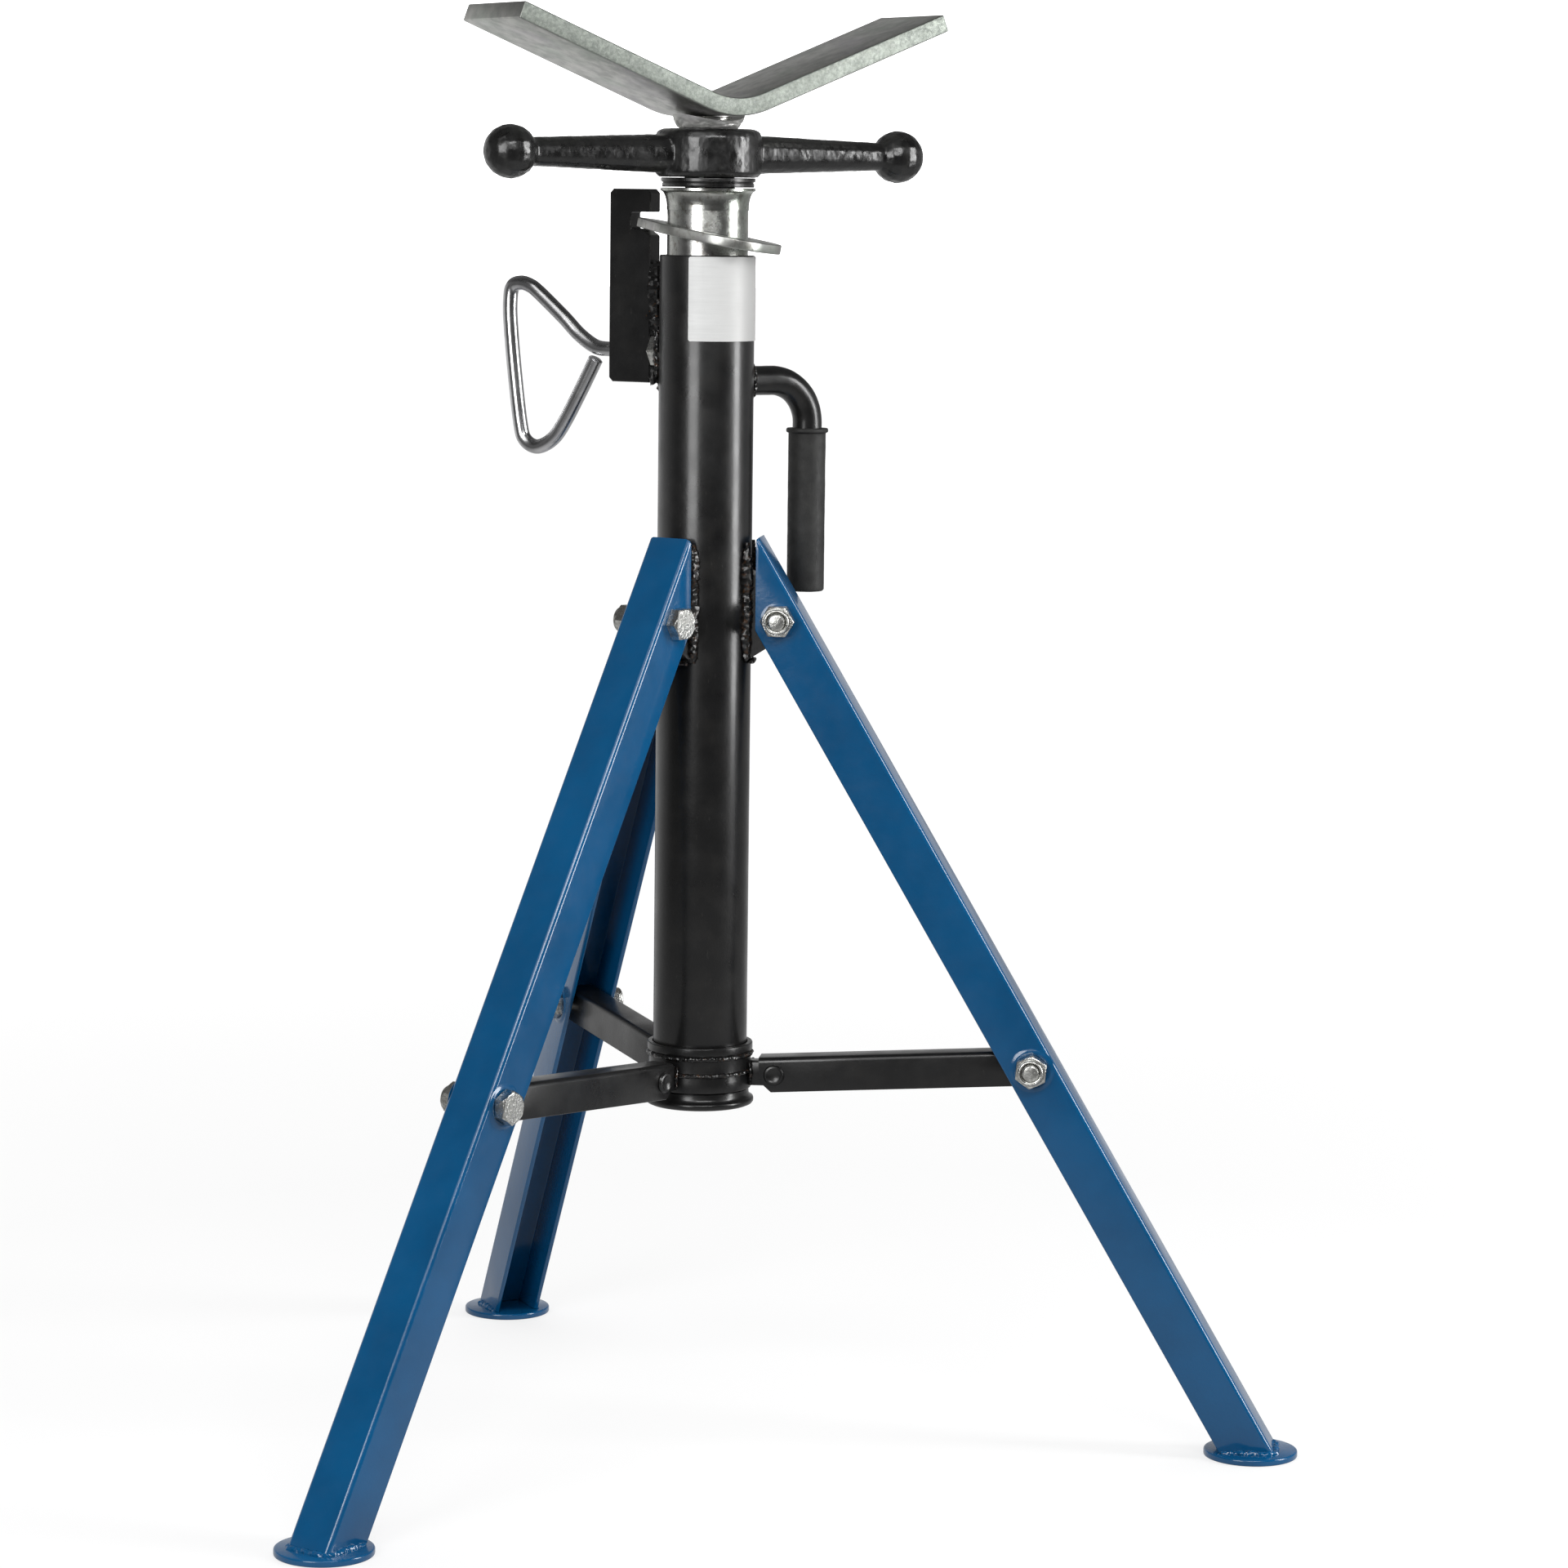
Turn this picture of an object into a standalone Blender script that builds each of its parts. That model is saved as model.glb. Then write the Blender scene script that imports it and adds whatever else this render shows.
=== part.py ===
# Folding tripod pipe jack stand with a V head, a screw lift and a sliding inner tube.
# Metres, +Z up, the camera side towards -Y. At the end the middle of the stand's box, on the
# ground, becomes the origin. Until then the column's axis stands on the origin.
# Pieces that sit round the column are drawn at a station: X runs outward from the axis,
# Y sideways and Z is the height above the ground. The station is then turned to its azimuth.

import math

import bmesh
import bpy
from mathutils import Matrix, Vector

# Fits that several pieces share
TOUCH_GAP = 0.0003
HOLE_GAP = 0.0004
CUT_OVERRUN = 0.01
EDGE_BREAK = 0.0006
MERGE_DISTANCE = 0.00004
EDGE_ANGLE = math.radians(50)
SMOOTH_ANGLE = math.radians(35)

# Counts
ROUND_STEPS = 36
BORE_STEPS = 16
BALL_STEPS = 8
ARC_STEPS = 5
HEX_SIDES = 6

# Outer tube, its stop ring at the foot and the label round it
TUBE_RADIUS = 0.0254
TUBE_WALL = 0.003
TUBE_BOTTOM = 0.184
TUBE_LENGTH = 0.4584
STOP_RING_RADIUS = 0.0294
STOP_RING_HEIGHT = 0.0086
LABEL_HEIGHT = 0.0445
LABEL_THICKNESS = 0.0004
LABEL_START = math.radians(247.6)
LABEL_SWEEP = math.radians(190)
LABEL_STEPS = 20

# Inner tube, its flared seat and the thrust ring on it
INNER_RADIUS = 0.0216
INNER_WALL = 0.0032
INNER_RISE = 0.0355
INNER_INSET = 0.006
HOLE_PITCH = 0.0508
HOLE_COUNT = 8
SEAT_RADIUS = 0.0253
SEAT_HEIGHT = 0.0105
SEAT_WALL = 0.0018
THRUST_RADIUS = 0.0252
THRUST_HEIGHT = 0.005

# Cast nut with its two ball arms
HUB_RADIUS = 0.0285
HUB_HEIGHT = 0.0255
HUB_ROUND = 0.0045
ARM_LENGTH = 0.118
ARM_DROP = 0.0006
ARM_ROOT_RADIUS = 0.0108
ARM_TIP_RADIUS = 0.0076
BALL_RADIUS = 0.0143
ARM_AZIMUTH = math.radians(29.5)

# Lift screw and its end stop
SCREW_RADIUS = 0.0143
SCREW_LENGTH = 0.15
SCREW_STOP_RADIUS = 0.0165
SCREW_STOP_HEIGHT = 0.006

# V head bent from flat bar
HEAD_AZIMUTH = math.radians(30)
HEAD_WIDTH = 0.0635
HEAD_THICKNESS = 0.0095
HEAD_SLOPE = math.radians(21.4)
HEAD_ARM = 0.1363
HEAD_BEND_RADIUS = 0.042
HEAD_CLEARANCE = 0.013

# Latch bar, guide nut and the tilting lock ring
LATCH_AZIMUTH = math.radians(148)
LATCH_THICKNESS = 0.010
LATCH_INNER = 0.03305
LATCH_OUTER = 0.0591
LATCH_RISE = 0.0346
LATCH_LENGTH = 0.1033
LATCH_CHAMFER = 0.0022
NOTCH_DEPTH = 0.0125
NOTCH_DROP = 0.0123
NOTCH_MOUTH_FALL = 0.0036
WELD_WIDTH = 0.0084
WELD_DROP = 0.0054
WELD_INSET = 0.0028
GUIDE_ACROSS = 0.0164
RING_THICKNESS = 0.0051
RING_TILT = math.radians(9.4)
RING_ROLL = math.radians(3.9)
RING_TAIL = 0.0392
RING_NOSE = 0.0386
RING_WIDTH = 0.0572
RING_TAIL_WIDTH = 0.0184
RING_NECK = 0.0119
RING_TAIL_ROUND = 0.003
RING_SIDE_ROUND = 0.03
RING_NOSE_ROUND = 0.023
RING_DROP = 0.0057

# Bent wire lock pin
PIN_RADIUS = 0.004
PIN_RISE = 0.0171
PIN_TIP = 0.0222
PIN_STEPS_PER_SPAN = 3
LOOP_REACH = 0.0675
LOOP_DROP = 0.054
# Outward places as shares of LOOP_REACH past the bar, and heights as shares of LOOP_DROP
LOOP_SHARES = (
    (0.03, 0.0),
    (0.17, 0.02),
    (0.326, 0.133),
    (0.484, 0.306),
    (0.723, 0.546),
    (0.803, 0.611),
    (0.895, 0.64),
    (0.981, 0.6),
    (1.004, 0.441),
    (0.996, 0.194),
    (0.953, -0.3),
    (0.896, -0.793),
    (0.847, -0.948),
    (0.732, -1.007),
    (0.593, -0.933),
    (0.483, -0.776),
    (0.321, -0.441),
    (0.172, -0.107),
)

# Carrying handle and its rubber grip
HANDLE_AZIMUTH = math.radians(30)
HANDLE_RADIUS = 0.0079
HANDLE_DROP = 0.067
HANDLE_REACH = 0.0634
HANDLE_BEND = 0.023
GRIP_RADIUS = 0.0101
GRIP_FLANGE_RADIUS = 0.0114
GRIP_FLANGE_HEIGHT = 0.0025
GRIP_DROP = 0.0029
GRIP_LENGTH = 0.0885
GRIP_END = 0.002

# Legs, three alike
LEG_AZIMUTHS = {
    "right": math.radians(-7.6),
    "rear": math.radians(112.4),
    "left": math.radians(232.4),
}
LEG_WIDTH = 0.0275
LEG_DEPTH = 0.026
LEG_WALL = 0.0026
LEG_CORNER = 0.004
LEG_LEAN = math.radians(30.3)
LEG_GROUND_REACH = 0.3187
LEG_CLEARANCE = 0.0041
LEG_BOLT_DEPTH = 0.0125
FOOT_RADIUS = 0.0254
FOOT_THICKNESS = 0.0035
FOOT_INSET = 0.0157
PIVOT_REACH = 0.041848

# Welded lugs that carry the legs
LUG_WIDTH = 0.0213
LUG_NOSE = 0.0093
LUG_RISE = 0.0275
LUG_DROP = 0.0225

# Bolts of the legs and their lock nuts, which have a round collar
BOLT_RADIUS = 0.0047
BOLT_ACROSS = 0.016
BOLT_HEAD = 0.0064
NUT_HEX_HEIGHT = 0.0074
NUT_COLLAR_HEIGHT = 0.0026
NUT_COLLAR_RADIUS = 0.0068
BOLT_STUB = 0.0005
HEX_ROUND = 0.0006

# Sliding collar with its ears
COLLAR_REST = 0.0007
COLLAR_HEIGHT = 0.0249
COLLAR_RADIUS = 0.0286
COLLAR_GAP = 0.0006
EAR_REACH = 0.0416
EAR_RISE = 0.0084
EAR_THICKNESS = 0.011
EAR_NOSE = 0.0066
EAR_ROUND = 0.0063

# Braces, three alike, and their rivets
BRACE_WIDTH = 0.017
BRACE_HEIGHT = 0.019
BRACE_WALL = 0.0024
BRACE_OVERHANG = 0.008
BRACE_BOLT_RISE = 0.0083
BRACE_CHAMFER = 0.006
BRACE_END_ROUND = 0.0094
RIVET_RADIUS = 0.0036
RIVET_HEAD_RADIUS = 0.0056
RIVET_HEAD_HEIGHT = 0.0022

# Finishes: colour, roughness, metallic
BLUE_PAINT = ("blue_paint", (0.012, 0.11, 0.47), 0.28, 0.0)
BLACK_PAINT = ("black_paint", (0.012, 0.012, 0.014), 0.35, 0.0)
CAST_BLACK = ("cast_black", (0.018, 0.018, 0.019), 0.55, 0.2)
ZINC = ("zinc", (0.56, 0.55, 0.50), 0.34, 1.0)
BRIGHT_STEEL = ("bright_steel", (0.74, 0.74, 0.75), 0.20, 1.0)
PLATED_BOLT = ("plated_bolt", (0.62, 0.62, 0.60), 0.30, 1.0)
BLACK_RUBBER = ("black_rubber", (0.016, 0.016, 0.017), 0.65, 0.0)
SILVER_FOIL = ("silver_foil", (0.66, 0.67, 0.68), 0.38, 0.6)


def clear_scene():
    for item in list(bpy.data.objects):
        bpy.data.objects.remove(item, do_unlink=True)


def finish_material(node, finish):
    colour, roughness, metallic = finish[1:]
    material = bpy.data.materials.new(node + "_" + finish[0])
    material.use_nodes = True
    shader = material.node_tree.nodes["Principled BSDF"]
    shader.inputs["Base Color"].default_value = (*colour, 1.0)
    shader.inputs["Roughness"].default_value = roughness
    shader.inputs["Metallic"].default_value = metallic
    material.diffuse_color = (*colour, 1.0)
    return material


def mesh_object(points, faces):
    mesh = bpy.data.meshes.new("work")
    mesh.from_pydata([tuple(point) for point in points], [], faces)
    work = bmesh.new()
    work.from_mesh(mesh)
    bmesh.ops.recalc_face_normals(work, faces=work.faces)
    work.to_mesh(mesh)
    work.free()
    item = bpy.data.objects.new("work", mesh)
    bpy.context.collection.objects.link(item)
    return item


def settle(item, matrix):
    # Moves the mesh itself and turns its faces outward again
    work = bmesh.new()
    work.from_mesh(item.data)
    bmesh.ops.transform(work, matrix=matrix, verts=work.verts)
    bmesh.ops.recalc_face_normals(work, faces=work.faces)
    work.to_mesh(item.data)
    work.free()
    return item


def apply_modifiers(item):
    graph = bpy.context.evaluated_depsgraph_get()
    mesh = bpy.data.meshes.new_from_object(item.evaluated_get(graph))
    item.modifiers.clear()
    item.data = mesh


def combine(item, other, operation):
    modifier = item.modifiers.new("combine", 'BOOLEAN')
    modifier.operation = operation
    modifier.solver = 'EXACT'
    modifier.object = other
    apply_modifiers(item)
    bpy.data.objects.remove(other, do_unlink=True)
    return item


def cut(item, *cutters):
    for cutter in cutters:
        combine(item, cutter, 'DIFFERENCE')
    return item


def join(item, *others):
    for other in others:
        combine(item, other, 'UNION')
    return item


def break_edges(item, width=EDGE_BREAK, segments=1):
    modifier = item.modifiers.new("edges", 'BEVEL')
    modifier.width = width
    modifier.segments = segments
    modifier.limit_method = 'ANGLE'
    modifier.angle_limit = EDGE_ANGLE
    apply_modifiers(item)
    return item


def finish_piece(item, name, finish, azimuth=0.0, pivot=(0.0, 0.0, 0.0), smooth=True):
    # The station's pivot becomes the object's origin, at the station's azimuth
    place = Vector(pivot)
    item.data.transform(Matrix.Translation(-place))
    item.rotation_euler = (0.0, 0.0, azimuth)
    item.location = Matrix.Rotation(azimuth, 3, 'Z') @ place
    item.name = name
    item.data.name = name
    item.data.materials.clear()
    item.data.materials.append(finish_material(name, finish))
    if smooth:
        item.data.shade_smooth()
        item.data.set_sharp_from_angle(angle=SMOOTH_ANGLE)
    return item


def turned(profile, steps=ROUND_STEPS):
    # A profile of (radius, height) points. It is closed, or runs from axis to axis.
    points, rings = [], []
    for radius, height in profile:
        if radius == 0:
            rings.append([len(points)])
            points.append((0.0, 0.0, height))
            continue
        rings.append(list(range(len(points), len(points) + steps)))
        for step in range(steps):
            turn = math.tau * step / steps
            points.append((radius * math.cos(turn), radius * math.sin(turn), height))
    on_axis = profile[0][0] == 0
    pairs = list(zip(rings, rings[1:]))
    if not on_axis:
        pairs.append((rings[-1], rings[0]))
    faces = []
    for ring, following in pairs:
        for step in range(steps):
            ahead = (step + 1) % steps
            if len(ring) == 1:
                faces.append((ring[0], following[step], following[ahead]))
            elif len(following) == 1:
                faces.append((ring[step], following[0], ring[ahead]))
            else:
                faces.append((ring[step], following[step], following[ahead], ring[ahead]))
    return mesh_object(points, faces)


def hollow(outer, inner, low, high, steps=ROUND_STEPS):
    return turned(((inner, low), (outer, low), (outer, high), (inner, high)), steps)


def rod(radius, low, high, steps=BORE_STEPS):
    return turned(((0, low), (radius, low), (radius, high), (0, high)), steps)


def sideways(item, reach=0.0, height=0.0):
    # Turns an upright piece to lie along the station's Y axis
    turn = Matrix.Rotation(-math.pi / 2, 4, 'X')
    return settle(item, Matrix.Translation((reach, 0.0, height)) @ turn)


def outward(item, height=0.0):
    # Turns an upright piece to lie along the station's X axis
    turn = Matrix.Rotation(math.pi / 2, 4, 'Y')
    return settle(item, Matrix.Translation((0.0, 0.0, height)) @ turn)


def rounded(corners, radii):
    # Replaces each corner that has a radius by an arc
    outline = []
    count = len(corners)
    for index, radius in enumerate(radii):
        corner = Vector(corners[index])
        if radius == 0:
            outline.append(tuple(corner))
            continue
        back = (Vector(corners[index - 1]) - corner).normalized()
        ahead = (Vector(corners[(index + 1) % count]) - corner).normalized()
        half = back.angle(ahead) / 2
        centre = corner + (back + ahead).normalized() * (radius / math.sin(half))
        first = corner + back * (radius / math.tan(half)) - centre
        last = corner + ahead * (radius / math.tan(half)) - centre
        start = math.atan2(first.y, first.x)
        sweep = math.atan2(first.x * last.y - first.y * last.x, first.dot(last))
        for step in range(ARC_STEPS + 1):
            turn = start + sweep * step / ARC_STEPS
            across = centre.x + radius * math.cos(turn)
            outline.append((across, centre.y + radius * math.sin(turn)))
    return outline


def slab(outline, width):
    # An outline of (X, Z) points made solid across Y
    count = len(outline)
    points = [(x, -width / 2, z) for x, z in outline] + [(x, width / 2, z) for x, z in outline]
    faces = [tuple(range(count)), tuple(range(2 * count - 1, count - 1, -1))]
    for index in range(count):
        ahead = (index + 1) % count
        faces.append((index, index + count, ahead + count, ahead))
    return mesh_object(points, faces)


def block(low_x, high_x, low_z, high_z, width):
    return slab(((low_x, low_z), (high_x, low_z), (high_x, high_z), (low_x, high_z)), width)


def hex_body(across, low, high, bore=0.0):
    # A hexagon with a point towards +X and broken corners
    corner = across / math.sqrt(3)
    item = turned(((0, low), (corner, low), (corner, high), (0, high)), HEX_SIDES)
    break_edges(item, HEX_ROUND)
    if bore:
        cut(item, rod(bore, low - CUT_OVERRUN, high + CUT_OVERRUN))
    return item


def smooth_path(points, steps):
    # A curve through the points, with evenly spread steps between each pair
    path = []
    last = len(points) - 1
    for index in range(last):
        before = points[max(index - 1, 0)]
        here = points[index]
        there = points[index + 1]
        after = points[min(index + 2, last)]
        for step in range(steps):
            share = step / steps
            pull = (there - before) * share
            swing = (2 * before - 5 * here + 4 * there - after) * share ** 2
            settle_back = (3 * here - before - 3 * there + after) * share ** 3
            path.append(here + (pull + swing + settle_back) / 2)
    path.append(points[last])
    return path


def tube_along(path, radius, resolution):
    curve = bpy.data.curves.new("work", 'CURVE')
    curve.dimensions = '3D'
    curve.bevel_depth = radius
    curve.bevel_resolution = resolution
    curve.use_fill_caps = True
    spline = curve.splines.new('POLY')
    spline.points.add(len(path) - 1)
    for point, place in zip(spline.points, path):
        point.co = (*place, 1.0)
    guide = bpy.data.objects.new("work", curve)
    bpy.context.collection.objects.link(guide)
    graph = bpy.context.evaluated_depsgraph_get()
    mesh = bpy.data.meshes.new_from_object(guide.evaluated_get(graph))
    bpy.data.objects.remove(guide, do_unlink=True)
    work = bmesh.new()
    work.from_mesh(mesh)
    bmesh.ops.remove_doubles(work, verts=work.verts, dist=MERGE_DISTANCE)
    bmesh.ops.recalc_face_normals(work, faces=work.faces)
    work.to_mesh(mesh)
    work.free()
    item = bpy.data.objects.new("work", mesh)
    bpy.context.collection.objects.link(item)
    return item


def leg_reach_at(height, depth):
    # How far out the leg's plane at this depth behind its web lies, at a height
    return LEG_GROUND_REACH - height * math.tan(LEG_LEAN) - depth / math.cos(LEG_LEAN)


# Places that several pieces share
TUBE_TOP = TUBE_BOTTOM + TUBE_LENGTH
TUBE_BORE = TUBE_RADIUS - TUBE_WALL
PIN_BORE = PIN_RADIUS + HOLE_GAP
INNER_TOP = TUBE_TOP + INNER_RISE
INNER_BOTTOM = TUBE_BOTTOM + INNER_INSET
HUB_BOTTOM = INNER_TOP + THRUST_HEIGHT + 2 * TOUCH_GAP
HUB_TOP = HUB_BOTTOM + HUB_HEIGHT
HEAD_VERTEX = HUB_TOP + HEAD_CLEARANCE
HEAD_OUTER_BEND = HEAD_BEND_RADIUS + HEAD_THICKNESS
HEAD_SOLE = (HEAD_VERTEX - HEAD_THICKNESS / math.cos(HEAD_SLOPE)
             + HEAD_OUTER_BEND * (1 / math.cos(HEAD_SLOPE) - 1))
SCREW_TOP = HEAD_SOLE - TOUCH_GAP
LATCH_TOP = TUBE_TOP + LATCH_RISE
LATCH_BOTTOM = LATCH_TOP - LATCH_LENGTH
NOTCH_TOP = LATCH_TOP - NOTCH_DROP
RING_TAIL_HEIGHT = NOTCH_TOP - RING_DROP
RING_LEAN = math.acos(math.cos(RING_TILT) * math.cos(RING_ROLL))
PIN_HEIGHT = LATCH_BOTTOM + PIN_RISE
HANDLE_HEIGHT = TUBE_TOP - HANDLE_DROP
GRIP_TOP = HANDLE_HEIGHT - HANDLE_BEND - GRIP_DROP
LEG_TRIM = TUBE_RADIUS + LEG_CLEARANCE
FOOT_REACH = LEG_GROUND_REACH - FOOT_INSET
PIVOT_HEIGHT = (leg_reach_at(0.0, LEG_BOLT_DEPTH) - PIVOT_REACH) / math.tan(LEG_LEAN)
LUG_TOP = PIVOT_HEIGHT + LUG_RISE
LUG_BOTTOM = PIVOT_HEIGHT - LUG_DROP
COLLAR_BOTTOM = TUBE_BOTTOM + STOP_RING_HEIGHT + COLLAR_REST
EAR_HEIGHT = COLLAR_BOTTOM + EAR_RISE
BRACE_BOLT_HEIGHT = EAR_HEIGHT + BRACE_BOLT_RISE
BRACE_BOLT_REACH = leg_reach_at(BRACE_BOLT_HEIGHT, LEG_BOLT_DEPTH)
BRACE_SPAN = math.hypot(BRACE_BOLT_REACH - EAR_REACH, BRACE_BOLT_HEIGHT - EAR_HEIGHT)
BRACE_RISE = math.atan2(BRACE_BOLT_HEIGHT - EAR_HEIGHT, BRACE_BOLT_REACH - EAR_REACH)
LEG_INNER_HALF = LEG_WIDTH / 2 - LEG_WALL


def build_outer_tube():
    tube = hollow(TUBE_RADIUS, TUBE_BORE, TUBE_BOTTOM, TUBE_TOP)
    drill = settle(
        outward(rod(PIN_BORE, 0.0, TUBE_RADIUS + CUT_OVERRUN), PIN_HEIGHT),
        Matrix.Rotation(LATCH_AZIMUTH, 4, 'Z'))
    cut(tube, drill)
    finish_piece(tube, "outer_tube", BLACK_PAINT)
    ring_bore = TUBE_RADIUS + TOUCH_GAP
    ring = hollow(STOP_RING_RADIUS, ring_bore, TUBE_BOTTOM, TUBE_BOTTOM + STOP_RING_HEIGHT)
    finish_piece(ring, "tube_stop_ring", BLACK_PAINT)


def build_label():
    inner = TUBE_RADIUS + TOUCH_GAP
    outer = inner + LABEL_THICKNESS
    high = TUBE_TOP - EDGE_BREAK
    low = high - LABEL_HEIGHT
    points, faces = [], []
    for step in range(LABEL_STEPS + 1):
        turn = LABEL_START + LABEL_SWEEP * step / LABEL_STEPS
        for radius, height in ((inner, low), (outer, low), (outer, high), (inner, high)):
            points.append((radius * math.cos(turn), radius * math.sin(turn), height))
    for step in range(LABEL_STEPS):
        start = 4 * step
        for side in range(4):
            ahead = (side + 1) % 4
            faces.append((start + side, start + ahead, start + 4 + ahead, start + 4 + side))
    last = 4 * LABEL_STEPS
    faces.append((0, 1, 2, 3))
    faces.append((last + 3, last + 2, last + 1, last))
    finish_piece(mesh_object(points, faces), "label_plate", SILVER_FOIL)


def build_inner_tube():
    bore = INNER_RADIUS - INNER_WALL
    tube = hollow(INNER_RADIUS, bore, INNER_BOTTOM, INNER_TOP)
    for index in range(HOLE_COUNT):
        drill = outward(rod(PIN_BORE, 0.0, INNER_RADIUS + CUT_OVERRUN),
                        PIN_HEIGHT - index * HOLE_PITCH)
        cut(tube, settle(drill, Matrix.Rotation(LATCH_AZIMUTH, 4, 'Z')))
    finish_piece(tube, "inner_tube", ZINC)
    inner = INNER_RADIUS + TOUCH_GAP
    seat = turned((
        (inner, INNER_TOP - SEAT_HEIGHT),
        (inner + SEAT_WALL, INNER_TOP - SEAT_HEIGHT),
        (SEAT_RADIUS, INNER_TOP - SEAT_HEIGHT / 3),
        (SEAT_RADIUS, INNER_TOP),
        (inner, INNER_TOP),
    ))
    finish_piece(seat, "tube_top_seat", ZINC)
    low = INNER_TOP + TOUCH_GAP
    thrust = hollow(THRUST_RADIUS, SCREW_RADIUS + COLLAR_GAP, low, low + THRUST_HEIGHT)
    finish_piece(thrust, "thrust_ring", CAST_BLACK)


def build_handle_nut():
    inset = HUB_ROUND * (1 - math.cos(math.pi / 4))
    hub = turned((
        (0, HUB_BOTTOM),
        (HUB_RADIUS - HUB_ROUND / 2, HUB_BOTTOM),
        (HUB_RADIUS, HUB_BOTTOM + HUB_ROUND / 2),
        (HUB_RADIUS, HUB_TOP - HUB_ROUND),
        (HUB_RADIUS - inset, HUB_TOP - inset),
        (HUB_RADIUS - HUB_ROUND, HUB_TOP),
        (0, HUB_TOP),
    ))
    height = (HUB_BOTTOM + HUB_TOP) / 2 - ARM_DROP
    contact = math.acos(ARM_TIP_RADIUS / BALL_RADIUS)
    for side in (0.0, math.pi):
        profile = [(0, HUB_RADIUS / 2), (ARM_ROOT_RADIUS, HUB_RADIUS / 2)]
        for step in range(BALL_STEPS):
            share = step / BALL_STEPS
            turn = -contact + (math.pi / 2 + contact) * share
            reach = ARM_LENGTH + BALL_RADIUS * math.sin(turn)
            profile.append((BALL_RADIUS * math.cos(turn), reach))
        profile.append((0, ARM_LENGTH + BALL_RADIUS))
        arm = outward(turned(profile, BORE_STEPS), height)
        join(hub, settle(arm, Matrix.Rotation(side, 4, 'Z')))
    bore = SCREW_RADIUS + HOLE_GAP
    cut(hub, rod(bore, HUB_BOTTOM - CUT_OVERRUN, HUB_TOP + CUT_OVERRUN, ROUND_STEPS))
    finish_piece(hub, "handle_nut", CAST_BLACK, ARM_AZIMUTH, (0.0, 0.0, height))


def build_screw():
    low = SCREW_TOP - SCREW_LENGTH
    finish_piece(rod(SCREW_RADIUS, low, SCREW_TOP, ROUND_STEPS), "lift_screw", ZINC)
    high = low - TOUCH_GAP
    stop = rod(SCREW_STOP_RADIUS, high - SCREW_STOP_HEIGHT, high, ROUND_STEPS)
    finish_piece(stop, "screw_end_stop", ZINC)


def build_v_head():
    # The upper face is two straight arms that meet in a bend, and the lower face runs parallel
    cosine = math.cos(HEAD_SLOPE)
    sine = math.sin(HEAD_SLOPE)
    bend_centre = HEAD_VERTEX + HEAD_BEND_RADIUS / cosine
    tip = (HEAD_ARM * cosine, HEAD_VERTEX + HEAD_ARM * sine)
    drop = (HEAD_THICKNESS * sine, -HEAD_THICKNESS * cosine)
    steps = 2 * ARC_STEPS
    upper = [(-tip[0], tip[1])]
    lower = [(tip[0] + drop[0], tip[1] + drop[1])]
    for step in range(steps + 1):
        turn = HEAD_SLOPE * (2 * step / steps - 1)
        for outline, radius, way in ((upper, HEAD_BEND_RADIUS, 1), (lower, HEAD_OUTER_BEND, -1)):
            outline.append((way * radius * math.sin(turn), bend_centre - radius * math.cos(turn)))
    upper.append(tip)
    lower.append((-tip[0] - drop[0], tip[1] + drop[1]))
    head = break_edges(slab(upper + lower, HEAD_WIDTH))
    finish_piece(head, "v_head", ZINC, HEAD_AZIMUTH, (0.0, 0.0, HEAD_SOLE))


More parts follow.
